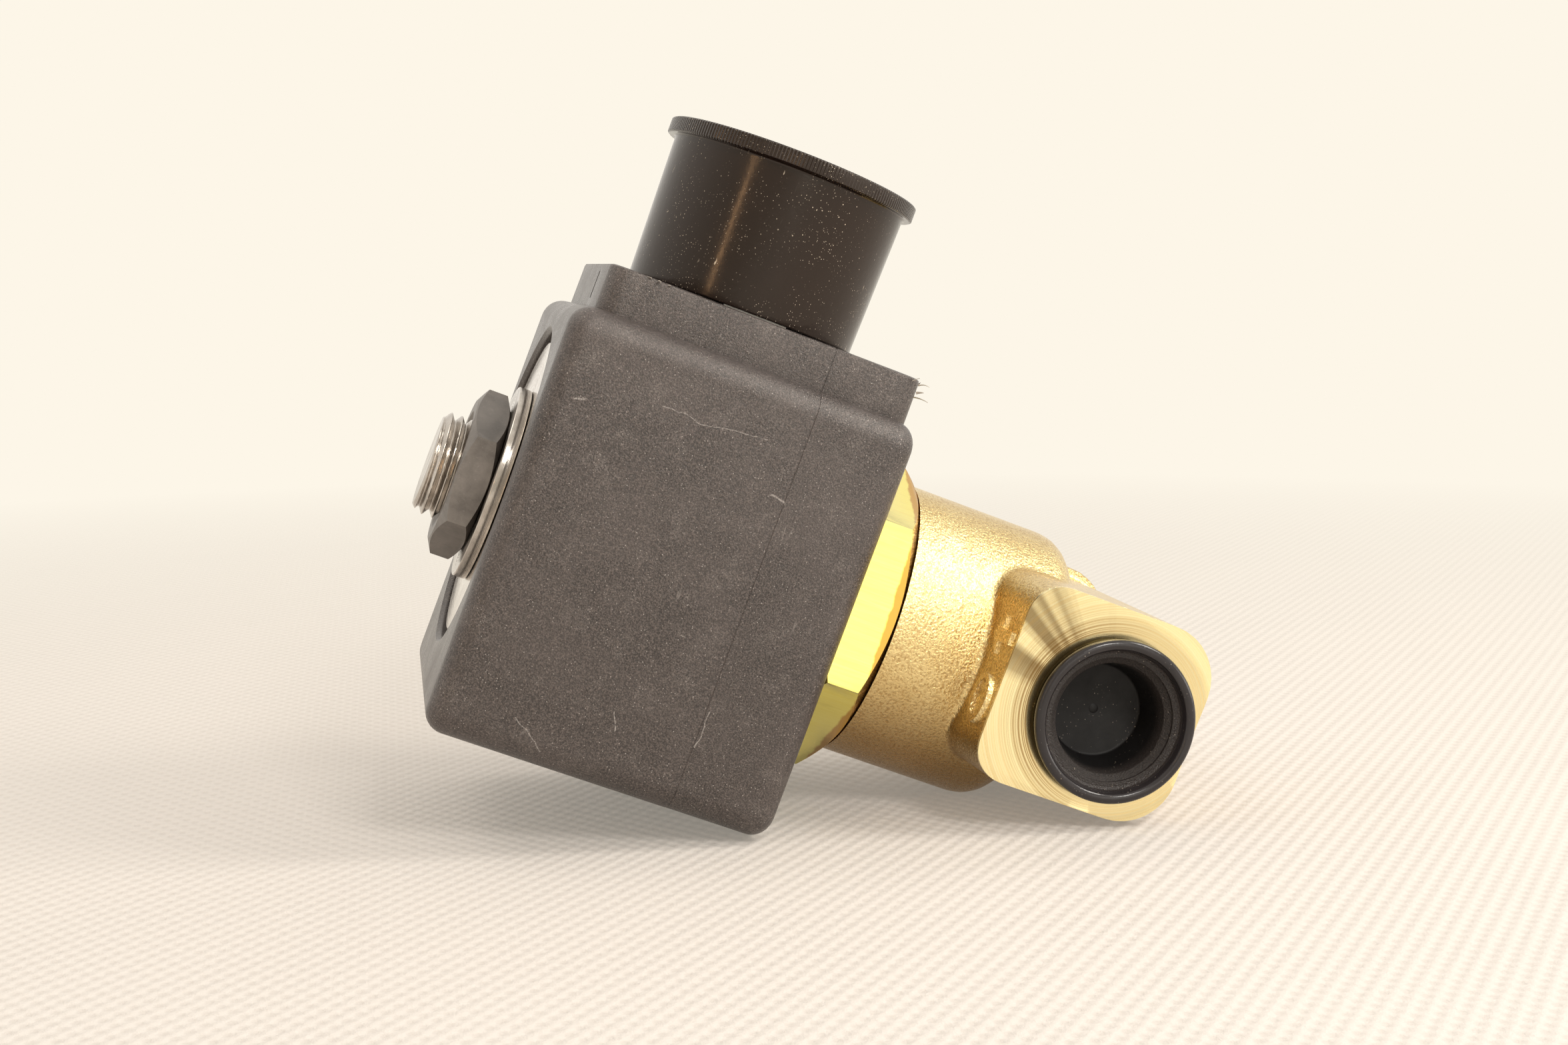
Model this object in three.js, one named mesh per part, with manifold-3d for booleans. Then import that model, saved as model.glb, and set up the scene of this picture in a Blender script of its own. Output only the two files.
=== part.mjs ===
// Direct-acting solenoid valve: an encapsulated coil on an armature tube over a brass valve body.
// Units are millimetres. While it is modelled, X runs along the coil's axis from its nut end to the
// brass body, Z points at the electrical terminals and the front port faces -Y. X is 0 on the coil's
// nut-side end face. The finished assembly is moved so that its origin is under its middle, at Z 0.
import * as THREE from "three";
import { mergeVertices } from "three/addons/utils/BufferGeometryUtils.js";
import Module from "manifold-3d";

const wasm = await Module();
wasm.setup();

// ---- driving dimensions -------------------------------------------------------------------------

const COIL = {
  length: 32.45,
  top: 18.4,
  bottom: -20.88,
  halfDepth: 17.5,
  edge: 2,
  recessRadius: 15.12,
  cavityEnd: 29.5,
  bore: 7.25,
  sealPocketRadius: 8.7,
  sealPocketStart: 30.9,
};
const BLOCK = {
  start: 2,
  end: 31.7,
  halfDepth: 14.2,
  top: 22.55,
  corner: 2,
  slotY: -5.2,
  slotWidth: 0.6,
  slotHeight: 2.6,
  slotDepth: 0.8,
};
const TERMINAL = { centreX: 16.1, width: 6, thickness: 0.8, foot: 16, tip: 34, sideY: 8.9, earthX: 8.7 };
const CONNECTOR_NUT = { side: 5.5, bottom: 20, top: 22.2, screwRadius: 1.5, pocketGap: 0.15, blindEnd: 16 };
const CAP = {
  bottom: 22.8,
  top: 37.7,
  bottomRadius: 10.98,
  neckRadius: 11.32,
  flangeRadius: 12.15,
  flangeThickness: 1.45,
  innerRadius: 10.3,
  headThickness: 1.3,
};
const YOKE = {
  plateRadius: 14.15,
  outerPlate: [0.5, 2.4],
  innerPlate: [27.5, 29.3],
  tubeInner: 13,
  tubeOuter: 14.6,
  tube: [2.5, 27.4],
};
const BOBBIN = { start: 2.6, end: 27.3, inner: 7.3, outer: 8.4, flange: 12.7, flangeThickness: 1.2 };
const WINDING = { inner: 8.5, outer: 12.4, gap: 0.1 };
const TUBE = { start: 1.4, end: 40.4, inner: 6.5, outer: 7 };
const CORE = { start: 1.5, end: 14.3, radius: 6.35, grooveInner: 4.4, grooveOuter: 5.4, grooveDepth: 1.2 };
const STUD = { end: -6.35, crest: 4.9, root: 4.35, pitch: 1, tipChamfer: 0.8 };
const PLUNGER = { start: 16.2, end: 42.7, radius: 6.3, springBore: 3.4, springEnd: 30, slot: 0.9 };
const SEAL_DISC = { start: 40.9, face: 42.9, radius: 4.2, gap: 0.1 };
const SPRING = { start: 14.4, end: 29.8, meanRadius: 2.7, wire: 0.35, turns: 7 };
const WASHER = { start: -0.75, end: 0.42, radius: 9.27, bore: 5.25 };
const NUT = { start: -3.95, end: -0.8, acrossFlats: 14, bore: 5.2, chamfer: 0.62 };
const HEX = {
  start: 32.75,
  end: 37.35,
  acrossFlats: 27,
  turn: THREE.MathUtils.degToRad(8.5),
  chamfer: 1.45,
  spigotEnd: 42.4,
  spigotRadius: 9.9,
  neckEnd: 38.9,
  neckRadius: 9.4,
  boreEnd: 40.5,
  boreRadius: 7.12,
  lipRadius: 6.55,
};
const BODY = {
  start: 37.5,
  end: 54.5,
  radius: 13.3,
  endRounding: 3.2,
  sealRadius: 11.1,
  sealEnd: 38.85,
  spigotBore: 10.05,
  spigotEnd: 42.8,
  chamberRadius: 7.6,
  floor: 46.3,
  seatLip: 43,
  seatRadius: 3.4,
  lipRadius: 2.1,
  orifice: 1.5,
};
const PORT = {
  x: 58,
  blockStart: 47,
  blockEnd: 65.85,
  blockTop: 9.9,
  lipTop: 10.5,
  lipStart: 14.5,
  draft: 0.17,
  blockBottom: -8.7,
  cornerFar: 5,
  cornerNear: 3.2,
  face: 18.3,
  drillRadius: 5.9,
  drillDepth: 14.1,
  mouthRadius: 6.9,
  mouthDepth: 1,
  spotRadius: 7.7,
  spotDepth: 0.15,
  inletY: -5.5,
  inletRadius: 1.4,
  outletRadius: 2.4,
  outletStart: -2.2,
};
const MARK = { y: -15.5, z: 0.95, height: 0.45, ovalWidth: 3, ovalHeight: 4.8, line: 0.6 };
const PLUG = {
  rimRadius: 7.5,
  rimInner: 6.25,
  rimFront: 19.75,
  rimBack: 18.45,
  wallRadius: 5.7,
  step: 5.3,
  mouth: 4.9,
  bottomRadius: 3.9,
  bottom: 12.9,
  end: 11.8,
};

const FINE = 48;
const PLAIN = 32;
const COARSE = 16;

// ---- materials ----------------------------------------------------------------------------------

function material(color, roughness, metalness) {
  return new THREE.MeshStandardMaterial({ color, roughness, metalness });
}

const charcoalNylon = material(0x554f4e, 0.55, 0);
const blackPlastic = material(0x1d1a19, 0.28, 0);
const softBlackPlastic = material(0x211f20, 0.4, 0);
const bobbinNylon = material(0xb9a98c, 0.6, 0);
const copper = material(0xb4683c, 0.35, 1);
const mildSteel = material(0xb9b7b0, 0.3, 1);
const stainless = material(0xc4c2bc, 0.25, 1);
const darkSteel = material(0x7b7770, 0.5, 1);
const brightBrass = material(0xe3c56a, 0.25, 1);
const forgedBrass = material(0xc79a45, 0.45, 1);
const blackRubber = material(0x1b1b1b, 0.8, 0);

// ---- shape helpers ------------------------------------------------------------------------------

// A closed three.js geometry as a manifold-3d solid with its faces pointing out.
function solid(geometry) {
  const bare = new THREE.BufferGeometry();
  bare.setAttribute("position", geometry.getAttribute("position"));
  bare.setIndex(geometry.getIndex());
  const merged = mergeVertices(bare, 1e-4);
  const corners = merged.index.array;
  const kept = [];
  for (let i = 0; i < corners.length; i += 3) {
    const [a, b, c] = [corners[i], corners[i + 1], corners[i + 2]];
    if (a !== b && b !== c && a !== c) kept.push(a, b, c);
  }
  const vertProperties = merged.attributes.position.array;
  const make = (triVerts) => new wasm.Manifold(new wasm.Mesh({ numProp: 3, vertProperties, triVerts }));
  const made = make(new Uint32Array(kept));
  return made.volume() < 0 ? make(new Uint32Array(kept.reverse())) : made;
}

// A named mesh of a solid.
function part(name, shape, look) {
  const { vertProperties, triVerts } = shape.getMesh();
  const geometry = new THREE.BufferGeometry();
  geometry.setAttribute("position", new THREE.BufferAttribute(vertProperties, 3));
  geometry.setIndex(new THREE.BufferAttribute(triVerts, 1));
  geometry.computeVertexNormals();
  const mesh = new THREE.Mesh(geometry, look);
  mesh.name = name;
  return mesh;
}

// Turns a geometry drawn along local +Z so that it lies along the named axis.
function alignZ(geometry, axis) {
  const x = new THREE.Vector3(1, 0, 0);
  const y = new THREE.Vector3(0, 1, 0);
  const z = new THREE.Vector3(0, 0, 1);
  const bases = { x: [y, z, x], y: [z, x, y], z: [x, y, z] };
  return geometry.applyMatrix4(new THREE.Matrix4().makeBasis(...bases[axis]));
}

// A solid of revolution: profile points are [distance along the axis, radius].
function turned(profile, axis = "x", centre = [0, 0, 0], segments = PLAIN) {
  const points = profile.map(([along, radius]) => new THREE.Vector2(radius, along));
  const geometry = new THREE.LatheGeometry(points, segments);
  geometry.rotateX(Math.PI / 2);
  alignZ(geometry, axis);
  geometry.translate(...centre);
  return solid(geometry);
}

// A plain round bar between two distances along an axis.
function round(start, end, radius, axis = "x", centre = [0, 0, 0], segments = PLAIN) {
  const profile = [
    [start, 0],
    [start, radius],
    [end, radius],
    [end, 0],
  ];
  return turned(profile, axis, centre, segments);
}

// A ring of rectangular section.
function ring(start, end, inner, outer, segments = PLAIN) {
  const profile = [
    [start, inner],
    [start, outer],
    [end, outer],
    [end, inner],
    [start, inner],
  ];
  return turned(profile, "x", [0, 0, 0], segments);
}

// A shape extruded along an axis. The shape's own axes are the next two in the order X, Y, Z.
function bar(shape, axis, start, end, edge = 0) {
  const geometry = new THREE.ExtrudeGeometry(shape, {
    depth: end - start - 2 * edge,
    bevelEnabled: edge > 0,
    bevelThickness: edge,
    bevelSize: edge,
    bevelOffset: -edge,
    bevelSegments: 4,
    curveSegments: 5,
  });
  geometry.translate(0, 0, start + edge);
  return solid(alignZ(geometry, axis));
}

// A rectangle from (x0, y0) to (x1, y1) whose four corners have the radii given, from (x0, y0) round.
function roundedRectangle(x0, y0, x1, y1, radii) {
  const [r00, r10, r11, r01] = radii;
  const shape = new THREE.Shape();
  shape.moveTo(x0 + r00, y0);
  shape.lineTo(x1 - r10, y0);
  shape.absarc(x1 - r10, y0 + r10, r10, -Math.PI / 2, 0);
  shape.lineTo(x1, y1 - r11);
  shape.absarc(x1 - r11, y1 - r11, r11, 0, Math.PI / 2);
  shape.lineTo(x0 + r01, y1);
  shape.absarc(x0 + r01, y1 - r01, r01, Math.PI / 2, Math.PI);
  shape.lineTo(x0, y0 + r00);
  shape.absarc(x0 + r00, y0 + r00, r00, Math.PI, 1.5 * Math.PI);
  return shape;
}

function rectangle(x0, y0, x1, y1) {
  const shape = new THREE.Shape();
  shape.moveTo(x0, y0);
  shape.lineTo(x1, y0);
  shape.lineTo(x1, y1);
  shape.lineTo(x0, y1);
  return shape;
}

// A box given by its lowest and highest corners.
function block(low, high) {
  return bar(rectangle(low[0], low[1], high[0], high[1]), "z", low[2], high[2]);
}

// A regular hexagon whose first flat faces -Y, turned by an angle about the bar's axis.
function hexagon(acrossFlats, turn = 0) {
  const shape = new THREE.Shape();
  for (let i = 0; i < 6; i += 1) {
    const angle = turn + (Math.PI / 3) * (i + 0.5);
    const radius = acrossFlats / Math.sqrt(3);
    const corner = [radius * Math.cos(angle), radius * Math.sin(angle)];
    if (i === 0) shape.moveTo(...corner);
    else shape.lineTo(...corner);
  }
  return shape;
}

// ---- coil ---------------------------------------------------------------------------------------

function terminalSlot(x0, x1, y0, y1) {
  const gap = 0.12;
  return block([x0 - gap, y0 - gap, TERMINAL.foot - gap], [x1 + gap, y1 + gap, BLOCK.top + 1]);
}

function terminalFootprints() {
  const { centreX, width, thickness, sideY, earthX } = TERMINAL;
  const halfWidth = width / 2;
  const halfThickness = thickness / 2;
  const side = (y) => [centreX - halfWidth, centreX + halfWidth, y - halfThickness, y + halfThickness];
  const earth = [centreX + earthX - halfThickness, centreX + earthX + halfThickness, -halfWidth, halfWidth];
  return { line_terminal: side(-sideY), neutral_terminal: side(sideY), earth_terminal: earth };
}

function coilHousing() {
  const edge = COIL.edge;
  const side = COIL.halfDepth;
  const section = roundedRectangle(-side, COIL.bottom, side, COIL.top, Array(4).fill(edge + 0.02));
  const blockOutline = roundedRectangle(
    BLOCK.start,
    -BLOCK.halfDepth,
    BLOCK.end,
    BLOCK.halfDepth,
    Array(4).fill(BLOCK.corner),
  );
  let shape = bar(section, "x", 0, COIL.length, edge);
  shape = shape.add(bar(blockOutline, "z", COIL.top - 3, BLOCK.top));
  shape = shape.subtract(round(-1, COIL.cavityEnd, COIL.recessRadius, "x", [0, 0, 0], FINE));
  shape = shape.subtract(round(COIL.cavityEnd - 1, COIL.length + 1, COIL.bore));
  shape = shape.subtract(round(COIL.sealPocketStart, COIL.length + 1, COIL.sealPocketRadius));
  for (const [x0, x1, y0, y1] of Object.values(terminalFootprints())) {
    shape = shape.subtract(terminalSlot(x0, x1, y0, y1));
  }
  const pocket = CONNECTOR_NUT.side / 2 + CONNECTOR_NUT.pocketGap;
  const centre = [TERMINAL.centreX, 0, 0];
  const pocketFloor = CONNECTOR_NUT.bottom - CONNECTOR_NUT.pocketGap;
  shape = shape.subtract(
    block([centre[0] - pocket, -pocket, pocketFloor], [centre[0] + pocket, pocket, BLOCK.top + 1]),
  );
  const screwHole = round(CONNECTOR_NUT.blindEnd, BLOCK.top, CONNECTOR_NUT.screwRadius, "z", centre, COARSE);
  shape = shape.subtract(screwHole);
  const slotMiddle = (COIL.top + BLOCK.top) / 2;
  return shape.subtract(
    block(
      [BLOCK.start - 1, BLOCK.slotY - BLOCK.slotWidth / 2, slotMiddle - BLOCK.slotHeight / 2],
      [BLOCK.start + BLOCK.slotDepth, BLOCK.slotY + BLOCK.slotWidth / 2, slotMiddle + BLOCK.slotHeight / 2],
    ),
  );
}

function blade([x0, x1, y0, y1]) {
  const taper = 1.2;
  const wideX = x1 - x0 > y1 - y0;
  const middle = wideX ? (x0 + x1) / 2 : (y0 + y1) / 2;
  const half = TERMINAL.width / 2;
  const outline = new THREE.Shape();
  outline.moveTo(middle - half, TERMINAL.foot);
  outline.lineTo(middle + half, TERMINAL.foot);
  outline.lineTo(middle + half, TERMINAL.tip - taper);
  outline.lineTo(middle + half - taper, TERMINAL.tip);
  outline.lineTo(middle - half + taper, TERMINAL.tip);
  outline.lineTo(middle - half, TERMINAL.tip - taper);
  if (!wideX) return bar(outline, "x", x0, x1);
  const swapped = new THREE.Shape(outline.getPoints().map((p) => new THREE.Vector2(p.y, p.x)));
  return bar(swapped, "y", y0, y1);
}

function connectorNut() {
  const half = CONNECTOR_NUT.side / 2;
  const x = TERMINAL.centreX;
  const square = block([x - half, -half, CONNECTOR_NUT.bottom], [x + half, half, CONNECTOR_NUT.top]);
  const hole = round(CONNECTOR_NUT.bottom - 1, CONNECTOR_NUT.top + 1, 1.25, "z", [x, 0, 0], COARSE);
  return square.subtract(hole);
}

function terminalCap() {
  const rim = 0.15;
  const flangeBottom = CAP.top - CAP.flangeThickness;
  const profile = [
    [CAP.bottom, CAP.innerRadius],
    [CAP.bottom, CAP.bottomRadius],
    [flangeBottom, CAP.neckRadius],
    [flangeBottom, CAP.flangeRadius - rim],
    [flangeBottom + rim, CAP.flangeRadius],
    [CAP.top - rim, CAP.flangeRadius],
    [CAP.top, CAP.flangeRadius - rim],
    [CAP.top, 0],
    [CAP.top - CAP.headThickness, 0],
    [CAP.top - CAP.headThickness, CAP.innerRadius],
    [CAP.bottom, CAP.innerRadius],
  ];
  return turned(profile, "z", [TERMINAL.centreX, 0, 0], FINE);
}

function bobbin() {
  const { start, end, inner, outer, flange, flangeThickness } = BOBBIN;
  const profile = [
    [start, inner],
    [start, flange],
    [start + flangeThickness, flange],
    [start + flangeThickness, outer],
    [end - flangeThickness, outer],
    [end - flangeThickness, flange],
    [end, flange],
    [end, inner],
    [start, inner],
  ];
  return turned(profile);
}

function winding() {
  const start = BOBBIN.start + BOBBIN.flangeThickness + WINDING.gap;
  const end = BOBBIN.end - BOBBIN.flangeThickness - WINDING.gap;
  return ring(start, end, WINDING.inner, WINDING.outer);
}

// ---- armature tube and what moves in it ---------------------------------------------------------

// The core and its stud, whose thread is a row of ring-shaped ridges.
function fixedCore() {
  const profile = [
    [STUD.end, 0],
    [STUD.end, STUD.crest - STUD.tipChamfer],
    [STUD.end + STUD.tipChamfer * 0.6, STUD.crest],
  ];
  const firstRidge = STUD.end + 1.05;
  for (let x = firstRidge; x < NUT.end - STUD.pitch; x += STUD.pitch) {
    profile.push([x, STUD.crest]);
    profile.push([x + STUD.pitch * 0.42, STUD.root]);
    profile.push([x + STUD.pitch * 0.54, STUD.root]);
    profile.push([x + STUD.pitch * 0.96, STUD.crest]);
  }
  profile.push([CORE.start, STUD.crest]);
  profile.push([CORE.start, CORE.radius]);
  profile.push([CORE.end, CORE.radius]);
  profile.push([CORE.end, CORE.grooveOuter]);
  profile.push([CORE.end - CORE.grooveDepth, CORE.grooveOuter]);
  profile.push([CORE.end - CORE.grooveDepth, CORE.grooveInner]);
  profile.push([CORE.end, CORE.grooveInner]);
  profile.push([CORE.end, 0]);
  return turned(profile);
}

function shadingRing() {
  const gap = 0.1;
  const start = CORE.end - CORE.grooveDepth + gap;
  return ring(start, CORE.end - gap, CORE.grooveInner + gap, CORE.grooveOuter - gap);
}

function plunger() {
  const profile = [
    [PLUNGER.start, PLUNGER.springBore],
    [PLUNGER.start, PLUNGER.radius - 0.4],
    [PLUNGER.start + 0.4, PLUNGER.radius],
    [PLUNGER.end - 0.5, PLUNGER.radius],
    [PLUNGER.end, PLUNGER.radius - 0.5],
    [PLUNGER.end, SEAL_DISC.radius + SEAL_DISC.gap],
    [SEAL_DISC.start - SEAL_DISC.gap, SEAL_DISC.radius + SEAL_DISC.gap],
    [SEAL_DISC.start - SEAL_DISC.gap, 0],
    [PLUNGER.springEnd, 0],
    [PLUNGER.springEnd, PLUNGER.springBore],
    [PLUNGER.start, PLUNGER.springBore],
  ];
  let shape = turned(profile);
  for (const side of [-1, 1]) {
    const inner = side * (PLUNGER.radius - PLUNGER.slot);
    const outer = side * (PLUNGER.radius + 1);
    const [z0, z1] = [Math.min(inner, outer), Math.max(inner, outer)];
    shape = shape.subtract(
      block([PLUNGER.start - 1, -PLUNGER.slot, z0], [PLUNGER.end + 1, PLUNGER.slot, z1]),
    );
  }
  return shape;
}

class Helix extends THREE.Curve {
  constructor(start, end, radius, turns) {
    super();
    Object.assign(this, { start, end, radius, turns });
  }

  getPoint(t, target = new THREE.Vector3()) {
    const angle = 2 * Math.PI * this.turns * t;
    const along = THREE.MathUtils.lerp(this.start, this.end, t);
    return target.set(along, this.radius * Math.cos(angle), this.radius * Math.sin(angle));
  }
}

function returnSpring() {
  const { start, end, meanRadius, wire, turns } = SPRING;
  const path = new Helix(start + wire, end - wire, meanRadius, turns);
  const section = new THREE.Shape();
  section.absarc(0, 0, wire, 0, 2 * Math.PI);
  const steps = turns * 12;
  return solid(new THREE.ExtrudeGeometry(section, { steps, extrudePath: path, curveSegments: 3 }));
}

// ---- nut, washer and tube base ------------------------------------------------------------------

function coilNut() {
  const { start, end, acrossFlats, bore, chamfer } = NUT;
  const corner = acrossFlats / Math.sqrt(3);
  const faceRadius = acrossFlats / 2 - 0.25;
  const envelope = turned([
    [start, 0],
    [start, faceRadius],
    [start + chamfer, corner + 0.02],
    [end - chamfer, corner + 0.02],
    [end, faceRadius],
    [end, 0],
  ]);
  const lead = 0.5;
  const hole = turned([
    [start - 0.1, 0],
    [start - 0.1, bore + lead],
    [start + lead, bore],
    [end - lead, bore],
    [end + 0.1, bore + lead],
    [end + 0.1, 0],
  ]);
  return bar(hexagon(acrossFlats, Math.PI / 6), "x", start, end).intersect(envelope).subtract(hole);
}

function tubeBase() {
  const corner = HEX.acrossFlats / Math.sqrt(3);
  const faceRadius = HEX.acrossFlats / 2 - 0.4;
  const envelope = turned(
    [
      [HEX.start, 0],
      [HEX.start, corner + 0.02],
      [HEX.end - HEX.chamfer, corner + 0.02],
      [HEX.end, faceRadius],
      [HEX.end, 0],
    ],
    "x",
    [0, 0, 0],
    FINE,
  );
  const head = bar(hexagon(HEX.acrossFlats, Math.PI / 6 - HEX.turn), "x", HEX.start, HEX.end);
  const spigot = turned([
    [HEX.end - 1, 0],
    [HEX.end - 1, HEX.neckRadius],
    [HEX.neckEnd, HEX.neckRadius],
    [HEX.neckEnd, HEX.spigotRadius],
    [HEX.spigotEnd - 0.4, HEX.spigotRadius],
    [HEX.spigotEnd, HEX.spigotRadius - 0.4],
    [HEX.spigotEnd, 0],
  ]);
  const bore = turned([
    [HEX.start - 1, 0],
    [HEX.start - 1, HEX.boreRadius],
    [HEX.boreEnd, HEX.boreRadius],
    [HEX.boreEnd, HEX.lipRadius],
    [HEX.spigotEnd + 1, HEX.lipRadius],
    [HEX.spigotEnd + 1, 0],
  ]);
  return head.intersect(envelope).add(spigot).subtract(bore);
}

function oRing(x, majorRadius, minorRadius) {
  const geometry = new THREE.TorusGeometry(majorRadius, minorRadius, 6, PLAIN);
  alignZ(geometry, "x");
  geometry.translate(x, 0, 0);
  return solid(geometry);
}

// ---- valve body ---------------------------------------------------------------------------------

// A quarter arc of profile points, from the bar's side round to its end face.
function roundedEnd(end, radius, rounding, steps) {
  const points = [];
  for (let i = 0; i <= steps; i += 1) {
    const angle = (Math.PI / 2) * (i / steps);
    const along = end - rounding + rounding * Math.sin(angle);
    points.push([along, radius - rounding + rounding * Math.cos(angle)]);
  }
  return points;
}

// One threaded port: drilled bore, chamfered mouth and a shallow turned cone around it.
function portCavity(side) {
  const at = (depth) => side * (PORT.face - depth);
  const profile = [
    [at(-1), 0],
    [at(-1), PORT.spotRadius],
    [at(0), PORT.spotRadius],
    [at(PORT.spotDepth), PORT.mouthRadius],
    [at(PORT.mouthDepth), PORT.drillRadius],
    [at(PORT.drillDepth), PORT.drillRadius],
    [at(PORT.drillDepth), 0],
  ];
  return turned(profile, "y", [PORT.x, 0, 0]);
}

// A plain flow arrow and a plain oval, raised on the port block's side.
function flowMarks() {
  const arrow = new THREE.Shape();
  const { y, z } = MARK;
  arrow.moveTo(y - 1.7, z + 2.2);
  arrow.lineTo(y + 0.2, z + 2.2);
  arrow.lineTo(y + 0.2, z + 1);
  arrow.lineTo(y + 1.5, z + 2.8);
  arrow.lineTo(y + 0.2, z + 4.6);
  arrow.lineTo(y + 0.2, z + 3.4);
  arrow.lineTo(y - 1.7, z + 3.4);
  const oval = new THREE.Shape();
  oval.absellipse(y, z - 3.2, MARK.ovalWidth / 2, MARK.ovalHeight / 2, 0, 2 * Math.PI);
  const hole = new THREE.Path();
  const inner = [MARK.ovalWidth / 2 - MARK.line, MARK.ovalHeight / 2 - MARK.line];
  hole.absellipse(y, z - 3.2, ...inner, 0, 2 * Math.PI, true);
  oval.holes.push(hole);
  const start = PORT.blockStart - MARK.height;
  return [bar(arrow, "x", start, PORT.blockStart + 1), bar(oval, "x", start, PORT.blockStart + 1)];
}

// A length of the port arms, from one place along Y to another.
function portArm(top, from, to) {
  const radii = [PORT.cornerNear, PORT.cornerNear, PORT.cornerFar, PORT.cornerFar];
  const outline = roundedRectangle(PORT.blockBottom, PORT.blockStart, top, PORT.blockEnd, radii);
  return bar(outline, "y", from, to);
}

// Slopes an arm's near side, so that the arm widens from its port face to the barrel.
function drafted(shape, side) {
  const width = PORT.x - PORT.blockStart;
  return shape.warp((point) => {
    const share = Math.max(0, (PORT.x - point[0]) / width);
    point[0] -= share * PORT.draft * (PORT.face - side * point[1]);
  });
}

function valveBody() {
  const edge = 0.5;
  const barrel = turned(
    [
      [BODY.start, 0],
      [BODY.start, BODY.radius - edge],
      [BODY.start + edge, BODY.radius],
      ...roundedEnd(BODY.end, BODY.radius, BODY.endRounding, 5),
      [BODY.end, 0],
    ],
    "x",
    [0, 0, 0],
    FINE,
  );
  const frontPieces = [portArm(PORT.blockTop, -PORT.face, 1), ...flowMarks()];
  const rearArm = portArm(PORT.blockTop, -1, PORT.face);
  const rearPieces = [rearArm, portArm(PORT.lipTop, PORT.lipStart, PORT.face)];
  let shape = barrel;
  for (const piece of frontPieces) shape = shape.add(drafted(piece, -1));
  for (const piece of rearPieces) shape = shape.add(drafted(piece, 1));
  const chamber = turned([
    [BODY.start - 1, 0],
    [BODY.start - 1, BODY.sealRadius],
    [BODY.sealEnd, BODY.sealRadius],
    [BODY.sealEnd, BODY.spigotBore],
    [BODY.spigotEnd, BODY.spigotBore],
    [BODY.spigotEnd, BODY.chamberRadius],
    [BODY.floor, BODY.chamberRadius],
    [BODY.floor, BODY.seatRadius],
    [BODY.seatLip + 0.6, BODY.lipRadius + 0.3],
    [BODY.seatLip, BODY.lipRadius],
    [BODY.seatLip, 0],
  ]);
  shape = shape.subtract(chamber);
  shape = shape.subtract(portCavity(-1)).subtract(portCavity(1));
  const inlet = round(BODY.floor - 1, PORT.x, PORT.inletRadius, "x", [0, PORT.inletY, 0], COARSE);
  const orifice = round(BODY.seatLip - 1, PORT.x, BODY.orifice, "x", [0, 0, 0], COARSE);
  const outletEnd = PORT.face - PORT.drillDepth + 1;
  const outlet = round(PORT.outletStart, outletEnd, PORT.outletRadius, "y", [PORT.x, 0, 0], COARSE);
  return shape.subtract(inlet).subtract(orifice).subtract(outlet);
}

// A transport plug: a cup pushed into a port, with a thick rim. side is -1 at the front, 1 at the rear.
function portPlug(side) {
  const at = (distance) => side * distance;
  const roll = 0.4;
  const profile = [
    [at(PLUG.end), 0],
    [at(PLUG.end), PLUG.wallRadius - roll],
    [at(PLUG.end + roll), PLUG.wallRadius],
    [at(PLUG.rimBack), PLUG.wallRadius],
    [at(PLUG.rimBack), PLUG.rimRadius - roll],
    [at(PLUG.rimBack + roll), PLUG.rimRadius],
    [at(PLUG.rimFront - roll), PLUG.rimRadius],
    [at(PLUG.rimFront), PLUG.rimRadius - roll],
    [at(PLUG.rimFront), PLUG.rimInner + roll],
    [at(PLUG.rimFront - roll), PLUG.rimInner],
    [at(PLUG.rimFront - 1.4), PLUG.rimInner],
    [at(PLUG.rimFront - 2), PLUG.step],
    [at(PLUG.rimFront - 2.2), PLUG.mouth],
    [at(PLUG.bottom), PLUG.bottomRadius],
    [at(PLUG.bottom), 0],
  ];
  return turned(profile, "y", [PORT.x, 0, 0]);
}

// ---- assembly -----------------------------------------------------------------------------------

const coil = new THREE.Group();
coil.add(part("coil_housing", coilHousing(), charcoalNylon));
coil.add(part("outer_pole_plate", ring(...YOKE.outerPlate, COIL.bore, YOKE.plateRadius, FINE), mildSteel));
coil.add(part("inner_pole_plate", ring(...YOKE.innerPlate, COIL.bore, YOKE.plateRadius), mildSteel));
coil.add(part("yoke_tube", ring(...YOKE.tube, YOKE.tubeInner, YOKE.tubeOuter), mildSteel));
coil.add(part("bobbin", bobbin(), bobbinNylon));
coil.add(part("copper_winding", winding(), copper));
for (const [name, footprint] of Object.entries(terminalFootprints())) {
  coil.add(part(name, blade(footprint), stainless));
}
coil.add(part("connector_nut", connectorNut(), brightBrass));

const cap = new THREE.Group();
cap.add(part("terminal_cap", terminalCap(), blackPlastic));

const fastening = new THREE.Group();
const washerRing = ring(WASHER.start, WASHER.end, WASHER.bore, WASHER.radius, FINE);
fastening.add(part("flat_washer", washerRing, stainless));
fastening.add(part("coil_nut", coilNut(), darkSteel));

const armature = new THREE.Group();
armature.add(part("plunger", plunger(), stainless));
armature.add(part("plunger_seal", round(SEAL_DISC.start, SEAL_DISC.face, SEAL_DISC.radius), blackRubber));

const tubeAssembly = new THREE.Group();
tubeAssembly.add(part("armature_tube", ring(TUBE.start, TUBE.end, TUBE.inner, TUBE.outer), stainless));
tubeAssembly.add(part("fixed_core", fixedCore(), stainless));
tubeAssembly.add(part("shading_ring", shadingRing(), copper));
tubeAssembly.add(part("return_spring", returnSpring(), stainless));
tubeAssembly.add(part("tube_base", tubeBase(), brightBrass));
tubeAssembly.add(part("coil_seal", oRing(31.8, 7.92, 0.65), blackRubber));
tubeAssembly.add(part("body_seal", oRing(38.2, 10.25, 0.6), blackRubber));

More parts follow.
